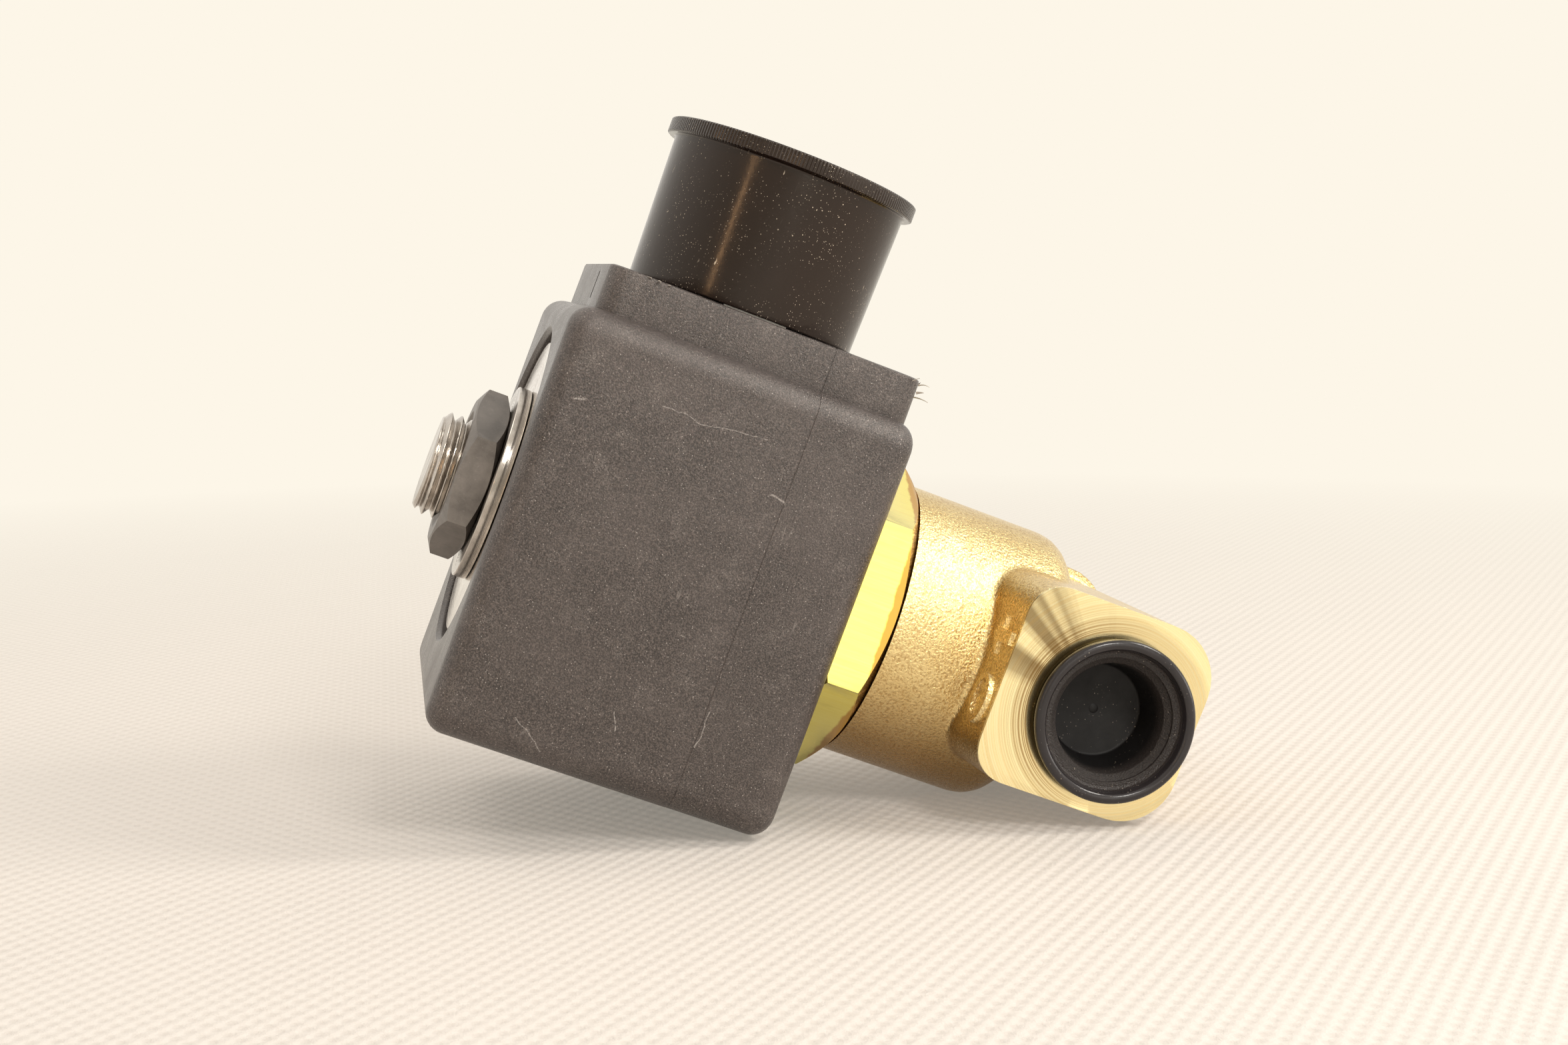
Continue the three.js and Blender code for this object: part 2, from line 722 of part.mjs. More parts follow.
const lowerBody = new THREE.Group();
lowerBody.add(part("valve_body", valveBody(), forgedBrass));
lowerBody.add(part("front_port_plug", portPlug(-1), softBlackPlastic));
lowerBody.add(part("rear_port_plug", portPlug(1), softBlackPlastic));

const valve = new THREE.Group();
valve.add(coil, cap, fastening, armature, tubeAssembly, lowerBody);
valve.position.set(-(STUD.end + PORT.blockEnd) / 2, 0, -COIL.bottom);

const solenoidValve = new THREE.Group();
solenoidValve.add(valve);

export default solenoidValve;
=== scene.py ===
"""The looks of the solenoid valve: a moulded coil with a capped terminal block, its nut and stud, a
bright brass hexagon and a blasted brass body with two plugged ports.

Shapes are made in millimetres in the coil's own coordinates, then moved into the frame. In them X runs
along the coil from its nut-side end face, Z points at the cap, and the front port faces -Y.
"""

import math
import random
from itertools import product

import bmesh
import bpy
from mathutils import Matrix, Vector


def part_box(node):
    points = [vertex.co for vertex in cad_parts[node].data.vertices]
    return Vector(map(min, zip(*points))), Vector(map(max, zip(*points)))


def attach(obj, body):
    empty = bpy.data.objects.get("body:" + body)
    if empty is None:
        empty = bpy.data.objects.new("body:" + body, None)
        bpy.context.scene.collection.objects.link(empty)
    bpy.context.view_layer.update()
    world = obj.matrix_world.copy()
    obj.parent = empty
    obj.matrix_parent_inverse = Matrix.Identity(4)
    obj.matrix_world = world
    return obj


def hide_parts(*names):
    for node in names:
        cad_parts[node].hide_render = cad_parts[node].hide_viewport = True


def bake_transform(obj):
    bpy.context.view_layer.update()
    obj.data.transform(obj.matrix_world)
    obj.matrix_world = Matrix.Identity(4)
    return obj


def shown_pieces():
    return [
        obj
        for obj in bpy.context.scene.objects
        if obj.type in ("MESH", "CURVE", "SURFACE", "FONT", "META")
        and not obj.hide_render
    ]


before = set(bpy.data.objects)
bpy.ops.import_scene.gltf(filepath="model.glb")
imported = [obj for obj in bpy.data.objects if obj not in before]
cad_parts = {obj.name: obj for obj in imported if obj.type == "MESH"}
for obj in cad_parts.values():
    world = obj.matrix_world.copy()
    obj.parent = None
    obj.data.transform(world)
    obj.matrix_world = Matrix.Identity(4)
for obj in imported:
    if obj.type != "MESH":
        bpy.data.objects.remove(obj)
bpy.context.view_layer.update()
scene = bpy.context.scene
scene.view_settings.view_transform = "Standard"

# ---- where the coil's own coordinates lie in the frame ----

coil_low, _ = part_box("coil_housing")
washer_low, washer_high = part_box("flat_washer")
ORIGIN = Vector((coil_low.x, 0, (washer_low.z + washer_high.z) / 2))
TO_FRAME = Matrix.Translation(ORIGIN) @ Matrix.Scale(0.001, 4)


def box_mm(node):
    """A node's lowest and highest corners in the coil's own millimetres."""
    low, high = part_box(node)
    return (low - ORIGIN) * 1000, (high - ORIGIN) * 1000


CASE_LOW, CASE_HIGH = box_mm("coil_housing")
CAP_LOW, CAP_HIGH = box_mm("terminal_cap")
NUT_LOW, NUT_HIGH = box_mm("coil_nut")
WASHER_LOW, WASHER_HIGH = box_mm("flat_washer")
PLATE_LOW, PLATE_HIGH = box_mm("outer_pole_plate")
CORE_LOW, CORE_HIGH = box_mm("fixed_core")
BASE_LOW, BASE_HIGH = box_mm("tube_base")
BODY_LOW, BODY_HIGH = box_mm("valve_body")
PLUG_LOW, PLUG_HIGH = box_mm("front_port_plug")
SPRING_LOW, SPRING_HIGH = box_mm("return_spring")

# ---- dimensions that the boxes don't give, as in the CAD source ----

CASE_TOP = 18.4
CASE_CORNER = 2.4
CASE_ROUNDING = 2.0
PARTING_X = 22.9
RECESS_RADIUS = 15.12
CAVITY_END = 29.5
TUBE_HOLE = 7.25
SEAL_POCKET = (30.9, 8.7)
BLOCK_X = (2.0, 31.7)
BLOCK_HALF_DEPTH = 14.2
CAP_CENTRE = (16.1, 0.0)
CAP_FLANGE = 1.45
NUT_FLATS = 14.0
STUD_CREST = 4.9
STUD_ROOT = 4.3
STUD_PITCH = 1.0
STUD_TIP = 4.25
THREAD_END = 1.4
TERMINALS = ("line_terminal", "neutral_terminal", "earth_terminal")
HEX_END = 37.35
HEX_FLATS = 27.0
HEX_TURN = math.radians(8.5)
BARREL_RADIUS = 13.3
BARREL_END = 54.5
PORT_X = 58.0
PORT_BLOCK_X = 47.0
PORT_FACE = 18.3
PORT_BOTTOM = -8.7
PORT_TOP = 9.9
PORT_DRAFT = 0.17
LIP_TOP = 10.9
LIP_START = 14.0
PORT_DRILL = (5.9, 14.1)
SPRING_WIRE = 0.33
SPRING_TURNS = 7
MARK_Y = -16.0
TILT = math.radians(21.57)

# ---- camera ----

CAMERA_TARGET = Vector((27.15, 0, 5.8))
CAMERA_AZIMUTH = math.radians(-11.8)
CAMERA_ELEVATION = math.radians(2.6)
CAMERA_ROLL = math.radians(20.5)
CAMERA_DISTANCE = 212
CAMERA_LENS = 51.1


def make_camera():
    """The photograph's camera: close, nearly level with the coil's axis, and rolled."""
    level = math.cos(CAMERA_ELEVATION)
    across, back = math.sin(CAMERA_AZIMUTH) * level, -math.cos(CAMERA_AZIMUTH) * level
    away = Vector((across, back, math.sin(CAMERA_ELEVATION)))
    right = (-away).cross(Vector((0, 0, 1))).normalized()
    up = right.cross(-away)
    turned_right = math.cos(CAMERA_ROLL) * right + math.sin(CAMERA_ROLL) * up
    turned_up = math.cos(CAMERA_ROLL) * up - math.sin(CAMERA_ROLL) * right
    data = bpy.data.cameras.new("camera")
    data.lens = CAMERA_LENS
    data.sensor_width = 36
    data.clip_start = 0.01
    camera = add_object("camera", data)
    place = TO_FRAME @ (CAMERA_TARGET + CAMERA_DISTANCE * away)
    heading = Matrix((turned_right, turned_up, away)).transposed().to_4x4()
    camera.matrix_world = Matrix.Translation(place) @ heading
    scene.camera = camera


# ---- node helpers ----


def rgb(*levels):
    """An sRGB colour, given from 0 to 255, as linear RGBA."""
    shares = [level / 255 for level in levels]
    return (*[v / 12.92 if v <= 0.04045 else ((v + 0.055) / 1.055) ** 2.4 for v in shares], 1)


class Nodes:
    """Builds one material's node tree, with a Principled shader and coordinates in millimetres."""

    def __init__(self, name):
        self.material = bpy.data.materials.new(name)
        self.material.use_nodes = True
        self.tree = self.material.node_tree
        self.shader = self.tree.nodes["Principled BSDF"]
        coordinates = self.node("TexCoord")
        self.mm = self.vector("SCALE", coordinates.outputs["Object"], scale=1000)
        self.local = self.vector("SUBTRACT", self.mm, tuple(ORIGIN * 1000))
        wander = self.node("TexNoise", Scale=0.5)
        self.link(self.mm, wander.inputs["Vector"])
        self.wander = wander.outputs["Color"]

    def node(self, kind, **values):
        """A new shader node, with some of its inputs' values."""
        made = self.tree.nodes.new("ShaderNode" + kind)
        for name, value in values.items():
            made.inputs[name.replace("_", " ")].default_value = value
        return made

    def link(self, source, target):
        self.tree.links.new(source, target)

    def feed(self, socket, value):
        """Links a socket, or sets a plain value."""
        if isinstance(value, bpy.types.NodeSocket):
            self.link(value, socket)
        else:
            socket.default_value = value

    def vector(self, operation, first, second=None, scale=None):
        """A vector operation's result, which is one value for a length or a dot product."""
        node = self.node("VectorMath")
        node.operation = operation
        self.feed(node.inputs[0], first)
        if second is not None:
            self.feed(node.inputs[1], second)
        if scale is not None:
            self.feed(node.inputs["Scale"], scale)
        return node.outputs["Value"] if operation in {"LENGTH", "DOT_PRODUCT"} else node.outputs["Vector"]

    def math(self, operation, first, second=0.0, third=0.0):
        """The result of an operation on values."""
        node = self.node("Math")
        node.operation = operation
        self.feed(node.inputs[0], first)
        self.feed(node.inputs[1], second)
        self.feed(node.inputs[2], third)
        return node.outputs[0]

    def times(self, first, second):
        """The product of two values."""
        return self.math("MULTIPLY", first, second)

    def noise(self, scale, detail=3.0, roughness=0.55, stretch=None, seed=0.0):
        """Noise with features of about 1/scale millimetres."""
        node = self.node("TexNoise", Scale=scale, Detail=detail, Roughness=roughness)
        place = self.mm if stretch is None else self.vector("MULTIPLY", self.mm, stretch)
        self.link(self.vector("ADD", place, (seed, seed, seed)), node.inputs["Vector"])
        return node.outputs["Fac"]

    def specks(self, scale, radius, seed=0.0):
        """Small scattered dots, from 0 to 1."""
        node = self.node("TexVoronoi", Scale=scale)
        self.link(self.vector("ADD", self.mm, (seed, seed, seed)), node.inputs["Vector"])
        near = self.ramp(node.outputs["Distance"], radius, radius * 0.5)
        picked = self.node("SeparateColor")
        self.link(node.outputs["Color"], picked.inputs[0])
        return self.times(near, self.ramp(picked.outputs[0], 0.55, 0.75))

    def ramp(self, value, low, high, out_low=0.0, out_high=1.0):
        """A value's place between low and high, held between the two outer values."""
        node = self.node("MapRange", From_Min=low, From_Max=high, To_Min=out_low, To_Max=out_high)
        node.clamp = True
        self.feed(node.inputs["Value"], value)
        return node.outputs["Result"]

    def mix(self, factor, first, second):
        """A mix of two colours."""
        node = self.node("Mix")
        node.data_type = "RGBA"
        self.feed(node.inputs["Factor"], factor)
        colours = [socket for socket in node.inputs if socket.type == "RGBA"]
        self.feed(colours[0], first)
        self.feed(colours[1], second)
        return next(socket for socket in node.outputs if socket.type == "RGBA")

    def bump(self, height, distance, strength=1.0, below=None):
        """A bump whose full height is distance millimetres."""
        node = self.node("Bump", Strength=strength, Distance=distance * 0.001)
        self.link(height, node.inputs["Height"])
        if below is not None:
            self.link(below, node.inputs["Normal"])
        return node.outputs["Normal"]

    def split(self, vector):
        """A vector's x, y and z."""
        node = self.node("SeparateXYZ")
        self.link(vector, node.inputs[0])
        return node.outputs["X"], node.outputs["Y"], node.outputs["Z"]

    def front_side(self, y):
        """1 on the side that faces -Y and lies at y, else 0."""
        return self.ramp(self.split(self.local)[1], y + 0.6, y + 0.3)

    def stroke(self, start, end, width):
        """1 on a thin line between two points given as (x, z), else 0."""
        first = Vector((start[0], 0, start[1]))
        reach = Vector((end[0], 0, end[1])) - first
        sway = self.vector("SUBTRACT", self.wander, (0.5, 0.5, 0.5))
        sway = self.vector("MULTIPLY", sway, (0.9, 0, 0.9))
        flat = self.vector("ADD", self.vector("MULTIPLY", self.local, (1, 0, 1)), sway)
        away = self.vector("SUBTRACT", flat, tuple(first))
        share = self.vector("DOT_PRODUCT", away, tuple(reach / reach.length_squared))
        share = self.math("MINIMUM", self.math("MAXIMUM", share, 0.0), 1.0)
        nearest = self.vector("SCALE", tuple(reach), scale=share)
        gap = self.vector("LENGTH", self.vector("SUBTRACT", away, nearest))
        return self.ramp(gap, width, width * 0.4)

    def patch(self, centre, halves):
        """A soft oval around a point given as (x, z)."""
        away = self.vector("SUBTRACT", self.local, (centre[0], 0, centre[1]))
        away = self.vector("MULTIPLY", away, (1 / halves[0], 0, 1 / halves[1]))
        return self.ramp(self.vector("LENGTH", away), 1.0, 0.3)

    def port_place(self):
        """The vector and distance from the ports' axis, and the distance from the middle plane."""
        flat = self.vector("MULTIPLY", self.vector("SUBTRACT", self.local, (PORT_X, 0, 0)), (1, 0, 1))
        return flat, self.vector("LENGTH", flat), self.math("ABSOLUTE", self.split(self.local)[1])

    def line_noise(self, value, scale, detail):
        """Noise that changes with one value only, such as a radius or an angle."""
        node = self.node("TexNoise", Scale=scale, Detail=detail)
        node.noise_dimensions = "1D"
        self.link(value, node.inputs["W"])
        return node.outputs["Fac"]

    def painted_reflection_fan(self, flat):
        """Painted dark sectors of a turned face, around its middle, standing in for its reflection."""
        x, _, z = self.split(flat)
        angle = self.math("ARCTAN2", z, x)
        sectors = self.ramp(self.line_noise(self.math("ABSOLUTE", angle), 2.6, 3), 0.44, 0.6)
        left = self.times(self.ramp(angle, 1.9, 2.1), self.ramp(angle, 3.2, 2.9, 0.35, 1.0))
        return self.times(sectors, left)

    def side_share(self, flat):
        """1 on the half of the port face towards the coil, fading to 0 on the other half."""
        return self.ramp(self.split(self.vector("NORMALIZE", flat))[0], 0.1, -0.8)

    def set(self, **values):
        """Sets the shader's inputs by name, with underscores for spaces."""
        for name, value in values.items():
            self.feed(self.shader.inputs[name.replace("_", " ")], value)
        return self.material


# ---- materials ----


# Fine scratches and nicks on the coil's front side, each from (x, z) to (x, z), and its width.
SCRATCHES = [
    ((10.0, 12.5), (14.1, 12.3), 0.05),
    ((14.1, 12.3), (19.6, 12.8), 0.05),
    ((21.6, 8.6), (23.0, 8.3), 0.12),
    ((7.4, -17.0), (10.4, -19.2), 0.07),
    ((23.2, -14.5), (23.3, -11.3), 0.07),
    ((15.2, -14.0), (15.9, -15.5), 0.07),
    ((2.6, 10.4), (3.6, 10.9), 0.1),
]
# Scuffed patches: centre (x, z) and half sizes.
SCUFFS = [
    ((28.0, -1.8), (2.4, 0.9)),
    ((17.6, -2.4), (2.0, 1.1)),
    ((24.0, 6.0), (1.2, 1.2)),
    ((8.6, -18.4), (1.6, 1.0)),
]


def coil_nylon():
    """Charcoal glass-filled nylon: fine grain with bright specks, pale rub marks and thin scratches, over a
    soft lighter mottle that also stands in for a broad painted sheen.
    """
    n = Nodes("coil_nylon")
    painted_sheen_patches = n.noise(0.14, 5, 0.62)
    grain = n.noise(6.5, 3, 0.75, seed=3)
    fine = n.noise(9.0, 2, 0.7, seed=14)
    rubbed = n.times(n.ramp(n.noise(0.3, 5, 0.7, seed=11), 0.52, 0.75), n.ramp(fine, 0.4, 0.7))
    marks = n.ramp(n.noise(1.0, 4, 0.6, stretch=(0.5, 0.5, 5.0), seed=21), 0.7, 0.74)
    marks = n.times(marks, n.ramp(n.noise(0.16, 2, 0.5, seed=31), 0.55, 0.66))
    front = n.front_side(CASE_LOW.y)
    for start, end, width in SCRATCHES:
        marks = n.math("MAXIMUM", marks, n.times(n.stroke(start, end, width), front))
    marks = n.times(marks, n.ramp(fine, 0.35, 0.6, 0.15, 1.0))
    flecks = n.ramp(n.noise(1.6, 4, 0.75, stretch=(1.6, 1, 0.5), seed=51), 0.52, 0.68)
    for centre, halves in SCUFFS:
        area = n.times(n.patch(centre, halves), front)
        rubbed = n.math("MAXIMUM", rubbed, n.times(area, flecks))
    fibres = n.specks(3.6, 0.19, seed=5)
    # Soft lighter mottle: random tone that also stands in for a broad painted sheen.
    colour = n.mix(n.ramp(painted_sheen_patches, 0.35, 0.65), rgb(35, 31, 31), rgb(60, 54, 53))
    colour = n.mix(n.ramp(grain, 0.42, 0.64, 0.0, 0.65), colour, rgb(118, 107, 102))
    colour = n.mix(n.ramp(fine, 0.6, 0.42, 0.0, 0.45), colour, rgb(34, 31, 31))
    colour = n.mix(n.times(rubbed, 0.4), colour, rgb(150, 142, 137))
    colour = n.mix(n.times(fibres, 0.6), colour, rgb(196, 188, 182))
    colour = n.mix(n.times(marks, 0.5), colour, rgb(186, 179, 174))
    relief = n.bump(grain, 0.06, 1.0)
    relief = n.bump(n.noise(0.9, 3, 0.6, seed=8), 0.05, 0.35, below=relief)
    roughness = n.ramp(n.math("ADD", painted_sheen_patches, n.times(rubbed, 0.2)), 0.3, 0.8, 0.2, 0.4)
    n.set(Specular_IOR_Level=0.6, Specular_Tint=(1.0, 0.95, 0.91, 1.0))
    return n.set(Base_Color=colour, Roughness=roughness, Normal=relief)


def gloss_plastic(name, dark, roughness_range, dust):
    """Black moulded plastic with hair scratches, pale dust and a finely ridged flange."""
    n = Nodes(name)
    under = CAP_HIGH.z - CAP_FLANGE
    clouds = n.noise(0.2, 4, 0.6)
    scratch = n.ramp(n.noise(1.2, 5, 0.7, stretch=(3.0, 3.0, 0.35), seed=4), 0.66, 0.7)
    specks = n.times(n.specks(2.3, 0.16, seed=2), n.ramp(n.noise(0.25, 3, seed=9), 0.42, 0.6))
    fine = n.times(n.specks(5.0, 0.24, seed=7), n.ramp(n.noise(0.3, 3, seed=13), 0.42, 0.58))
    lint = n.ramp(n.noise(1.1, 3, 0.6, stretch=(2.2, 2.2, 0.5), seed=41), 0.7, 0.72)
    lint = n.times(lint, n.ramp(n.noise(0.35, 2, seed=43), 0.5, 0.62))
    marks = n.times(n.math("MAXIMUM", n.math("MAXIMUM", specks, fine), lint), dust)
    colour = n.mix(clouds, dark, rgb(26, 14, 8))
    colour = n.mix(marks, colour, rgb(190, 176, 158))
    colour = n.mix(n.times(scratch, 0.06), colour, rgb(110, 100, 92))
    roughness = n.ramp(n.math("ADD", clouds, n.times(scratch, 0.2)), 0.3, 0.85, *roughness_range)
    relief = n.bump(n.noise(1.6, 3, 0.5, seed=6), 0.03, 0.35)
    x, y, height = n.split(n.vector("SUBTRACT", n.local, (*CAP_CENTRE, 0)))
    ridges = n.math("SINE", n.times(n.math("ARCTAN2", y, x), 230))
    relief = n.bump(n.times(ridges, n.ramp(height, under, under + 0.1)), 0.03, 0.7, below=relief)
    n.set(Specular_IOR_Level=0.5, Specular_Tint=(1.0, 0.9, 0.82, 1.0))
    return n.set(Base_Color=colour, Roughness=roughness, Normal=relief)


def plug_plastic():
    """The plug's black plastic: a semi-gloss rim, a sandy inner ledge and a rougher, near-black inside that
    is painted shade in the cup.
    """
    n = Nodes("plug_plastic")
    _, radius, depth = n.port_place()
    ledge = n.times(n.ramp(radius, 4.8, 5.0), n.ramp(radius, 6.5, 6.35))
    ledge = n.times(ledge, n.ramp(depth, 19.0, 18.8))
    grain = n.noise(6.5, 2, 0.7)
    colour = n.mix(n.noise(0.4, 3), rgb(30, 27, 28), rgb(46, 42, 43))
    # Painted shade: the cup's inside is painted near black.
    inside = n.ramp(radius, 6.2, 5.6)
    colour = n.mix(inside, colour, rgb(4, 2, 2))
    colour = n.mix(n.times(ledge, n.ramp(grain, 0.3, 0.65, 0.3, 1.0)), colour, rgb(44, 37, 34))
    specks = n.times(n.specks(3.4, 0.2, seed=3), n.ramp(n.noise(0.5, 2, seed=4), 0.45, 0.6))
    colour = n.mix(n.times(specks, 0.55), colour, rgb(180, 168, 154))
    roughness = n.ramp(n.noise(0.7, 3, seed=5), 0.3, 0.7, 0.16, 0.26)
    roughness = n.math("ADD", roughness, n.times(inside, 0.4))
    ledge_relief = n.bump(n.times(grain, ledge), 0.12, 1.0)
    relief = n.bump(n.noise(3.0, 3, 0.6, seed=8), 0.02, 0.6, below=ledge_relief)
    return n.set(Base_Color=colour, Roughness=roughness, Specular_IOR_Level=0.42, Normal=relief)


def forged_brass():
    """Blasted brass, with turned faces where the ports are machined. It carries painted shade, darker and
    browner towards the bottom and in the turned grooves on the coil's side of each port face, and painted
    reflection, dark sectors on the turned faces.
    """
    n = Nodes("forged_brass")
    flat, radius, depth = n.port_place()
    machined = n.ramp(depth, PORT_FACE - 0.22, PORT_FACE - 0.18)
    bored = n.times(n.ramp(radius, 7.6, 7.4), n.ramp(depth, 4, 4.2))
    machined = n.math("MAXIMUM", machined, bored)
    grit = n.noise(4.2, 2, 0.6)
    pits = n.noise(1.3, 3, 0.6, seed=5)
    stains = n.noise(0.13, 4, 0.6, seed=9)
    raw = n.mix(n.ramp(stains, 0.3, 0.7), rgb(222, 194, 134), rgb(236, 213, 156))
    raw = n.mix(n.ramp(grit, 0.52, 0.36, 0.0, 0.55), raw, rgb(158, 118, 64))
    # Painted shade: darker and browner towards the bottom, from z = -3 mm down to z = -10 mm.
    raw = n.mix(n.ramp(n.split(n.local)[2], -3, -10, 0.0, 0.7), raw, rgb(140, 98, 54))
    rings = n.line_noise(radius, 6.0, 3)
    wide_rings = n.line_noise(radius, 1.3, 2)
    # Painted reflection: dark sectors on the turned faces round the ports, mostly on their upper side
    # towards the coil.
    shade = n.times(n.painted_reflection_fan(flat), n.ramp(radius, 7.4, 8.4))
    turned_colour = n.mix(n.ramp(rings, 0.35, 0.65), rgb(250, 230, 172), rgb(254, 242, 192))
    # Painted shade: the turned grooves near the plug are darkened only on the half of the port face towards
    # the coil.
    near_plug = n.ramp(radius, 10.6, 8.6, 0.12, 1.0)
    groove_shade = n.times(n.side_share(flat), near_plug)
    groove_shade = n.times(groove_shade, n.ramp(rings, 0.54, 0.46))
    turned_colour = n.mix(n.times(groove_shade, 0.7), turned_colour, rgb(140, 106, 56))
    turned_colour = n.mix(n.times(shade, 0.75), turned_colour, rgb(104, 76, 36))
    turned_colour = n.mix(n.ramp(wide_rings, 0.55, 0.7, 0, 0.12), turned_colour, rgb(200, 168, 108))
    inner_ring = n.times(n.ramp(radius, 7.4, 7.7), n.ramp(radius, 9.6, 8.9))
    turned_colour = n.mix(n.times(inner_ring, 0.22), turned_colour, rgb(150, 116, 66))
    colour = n.mix(machined, raw, turned_colour)
    roughness = n.node("Mix")
    n.link(machined, roughness.inputs["Factor"])
    n.link(n.ramp(grit, 0.35, 0.65, 0.34, 0.2), roughness.inputs[2])
    n.link(n.ramp(rings, 0.3, 0.7, 0.28, 0.16), roughness.inputs[3])
    blasted = n.math("ADD", grit, n.times(pits, 0.4))
    blasted = n.times(n.math("SUBTRACT", 1.0, machined), blasted)
    relief = n.bump(blasted, 0.11, 1.0)
    relief = n.bump(n.times(machined, rings), 0.006, 0.6, below=relief)
    tangent = n.vector("NORMALIZE", n.vector("CROSS_PRODUCT", flat, (0, 1, 0)))
    n.set(Anisotropic=0.5, Tangent=tangent)
    return n.set(Base_Color=colour, Metallic=1.0, Roughness=roughness.outputs[0], Normal=relief)


def bar_brass():
    """Bright brass bar with faint drawn lines along X, and a duller turned chamfer."""
    n = Nodes("bar_brass")
    lines = n.noise(1.0, 5, 0.7, stretch=(0.12, 5, 5))
    smears = n.noise(0.5, 3, 0.6, stretch=(0.4, 1, 1), seed=4)
    colour = n.mix(n.ramp(lines, 0.3, 0.7), rgb(244, 226, 116), rgb(250, 238, 138))
    colour = n.mix(n.ramp(smears, 0.6, 0.75, 0, 0.25), colour, rgb(206, 182, 96))
    edge = n.math("MULTIPLY_ADD", n.noise(0.8, 2, 0.5, seed=9), 0.6, n.split(n.local)[0])
    chamfer = n.ramp(edge, HEX_END - 0.75, HEX_END - 0.55)
    colour = n.mix(n.times(chamfer, 0.8), colour, rgb(190, 128, 48))
    roughness = n.ramp(lines, 0.3, 0.7, 0.16, 0.26)
    relief = n.bump(lines, 0.008, 0.5)
    return n.set(Base_Color=colour, Metallic=1.0, Roughness=roughness, Normal=relief)


def turned_metal(name, light, dark, roughness_range, rings=9.0, relief_mm=0.01):
    """Steel turned about the coil's axis: fine rings, with darker smears."""
    n = Nodes(name)
    centre = (0, 0, ORIGIN.z * 1000)
    radius = n.vector("LENGTH", n.vector("MULTIPLY", n.vector("SUBTRACT", n.mm, centre), (0, 1, 1)))
    streaks = n.node("TexNoise", Scale=1.0, Detail=4)
    streaks.noise_dimensions = "2D"
    joined = n.node("CombineXYZ")
    n.link(n.times(radius, rings), joined.inputs["X"])
    n.link(n.times(n.split(n.mm)[0], rings), joined.inputs["Y"])
    n.link(joined.outputs[0], streaks.inputs["Vector"])
    smears = n.noise(0.4, 4, 0.6, seed=2)
    colour = n.mix(n.ramp(smears, 0.35, 0.7), light, dark)
    colour = n.mix(n.ramp(streaks.outputs["Fac"], 0.6, 0.75, 0, 0.25), colour, dark)
    mixed = n.math("ADD", streaks.outputs["Fac"], n.times(smears, 0.5))
    roughness = n.ramp(mixed, 0.5, 1.0, *roughness_range)
    relief = n.bump(streaks.outputs["Fac"], relief_mm, 0.6)
    return n.set(Base_Color=colour, Metallic=1.0, Roughness=roughness, Normal=relief)


def dark_plated_steel():
    """The nut's satin dark steel, worn bright in places."""
    n = Nodes("dark_plated_steel")
    cloud = n.noise(0.5, 4, 0.65)
    fine = n.noise(4.0, 3, 0.6, seed=3)
    colour = n.mix(n.ramp(cloud, 0.3, 0.7), rgb(108, 103, 99), rgb(138, 132, 127))
    colour = n.mix(n.ramp(fine, 0.6, 0.8, 0, 0.3), colour, rgb(185, 178, 172))
    roughness = n.ramp(cloud, 0.3, 0.7, 0.36, 0.5)
    relief = n.bump(fine, 0.03, 0.4)
    return n.set(Base_Color=colour, Metallic=0.9, Roughness=roughness, Normal=relief)


def plain_material(name, light, dark, roughness_range, scale=1.0, metallic=0.0, relief_mm=0.02):
    """A mottled surface with a fine bump, for the pieces inside."""
    n = Nodes(name)
    cloud = n.noise(scale, 4, 0.6)
    fine = n.noise(scale * 6, 3, 0.6, seed=4)
    colour = n.mix(n.ramp(cloud, 0.3, 0.7), dark, light)
    colour = n.mix(n.ramp(fine, 0.55, 0.8, 0, 0.25), colour, dark)
    roughness = n.ramp(n.math("ADD", cloud, fine), 0.7, 1.3, *roughness_range)
    relief = n.bump(fine, relief_mm, 0.5)
    return n.set(Base_Color=colour, Metallic=metallic, Roughness=roughness, Normal=relief)


def plain_metal(name, light, dark, scale):
    """A mottled bare metal, for the small pieces inside."""
    return plain_material(name, light, dark, (0.25, 0.4), scale, 1.0, 0.01)


def wound_wire():
    """Enamelled copper wire in close turns around the coil's axis."""
    n = Nodes("wound_wire")
    turns = n.math("SINE", n.times(n.split(n.mm)[0], 25))
    colour = n.mix(n.ramp(turns, -1, 1), rgb(120, 52, 25), rgb(196, 104, 58))
    colour = n.mix(n.ramp(n.noise(0.5, 3), 0.4, 0.7, 0, 0.4), colour, rgb(150, 70, 38))
    relief = n.bump(turns, 0.06, 0.8)
    return n.set(Base_Color=colour, Metallic=0.9, Roughness=0.32, Normal=relief)


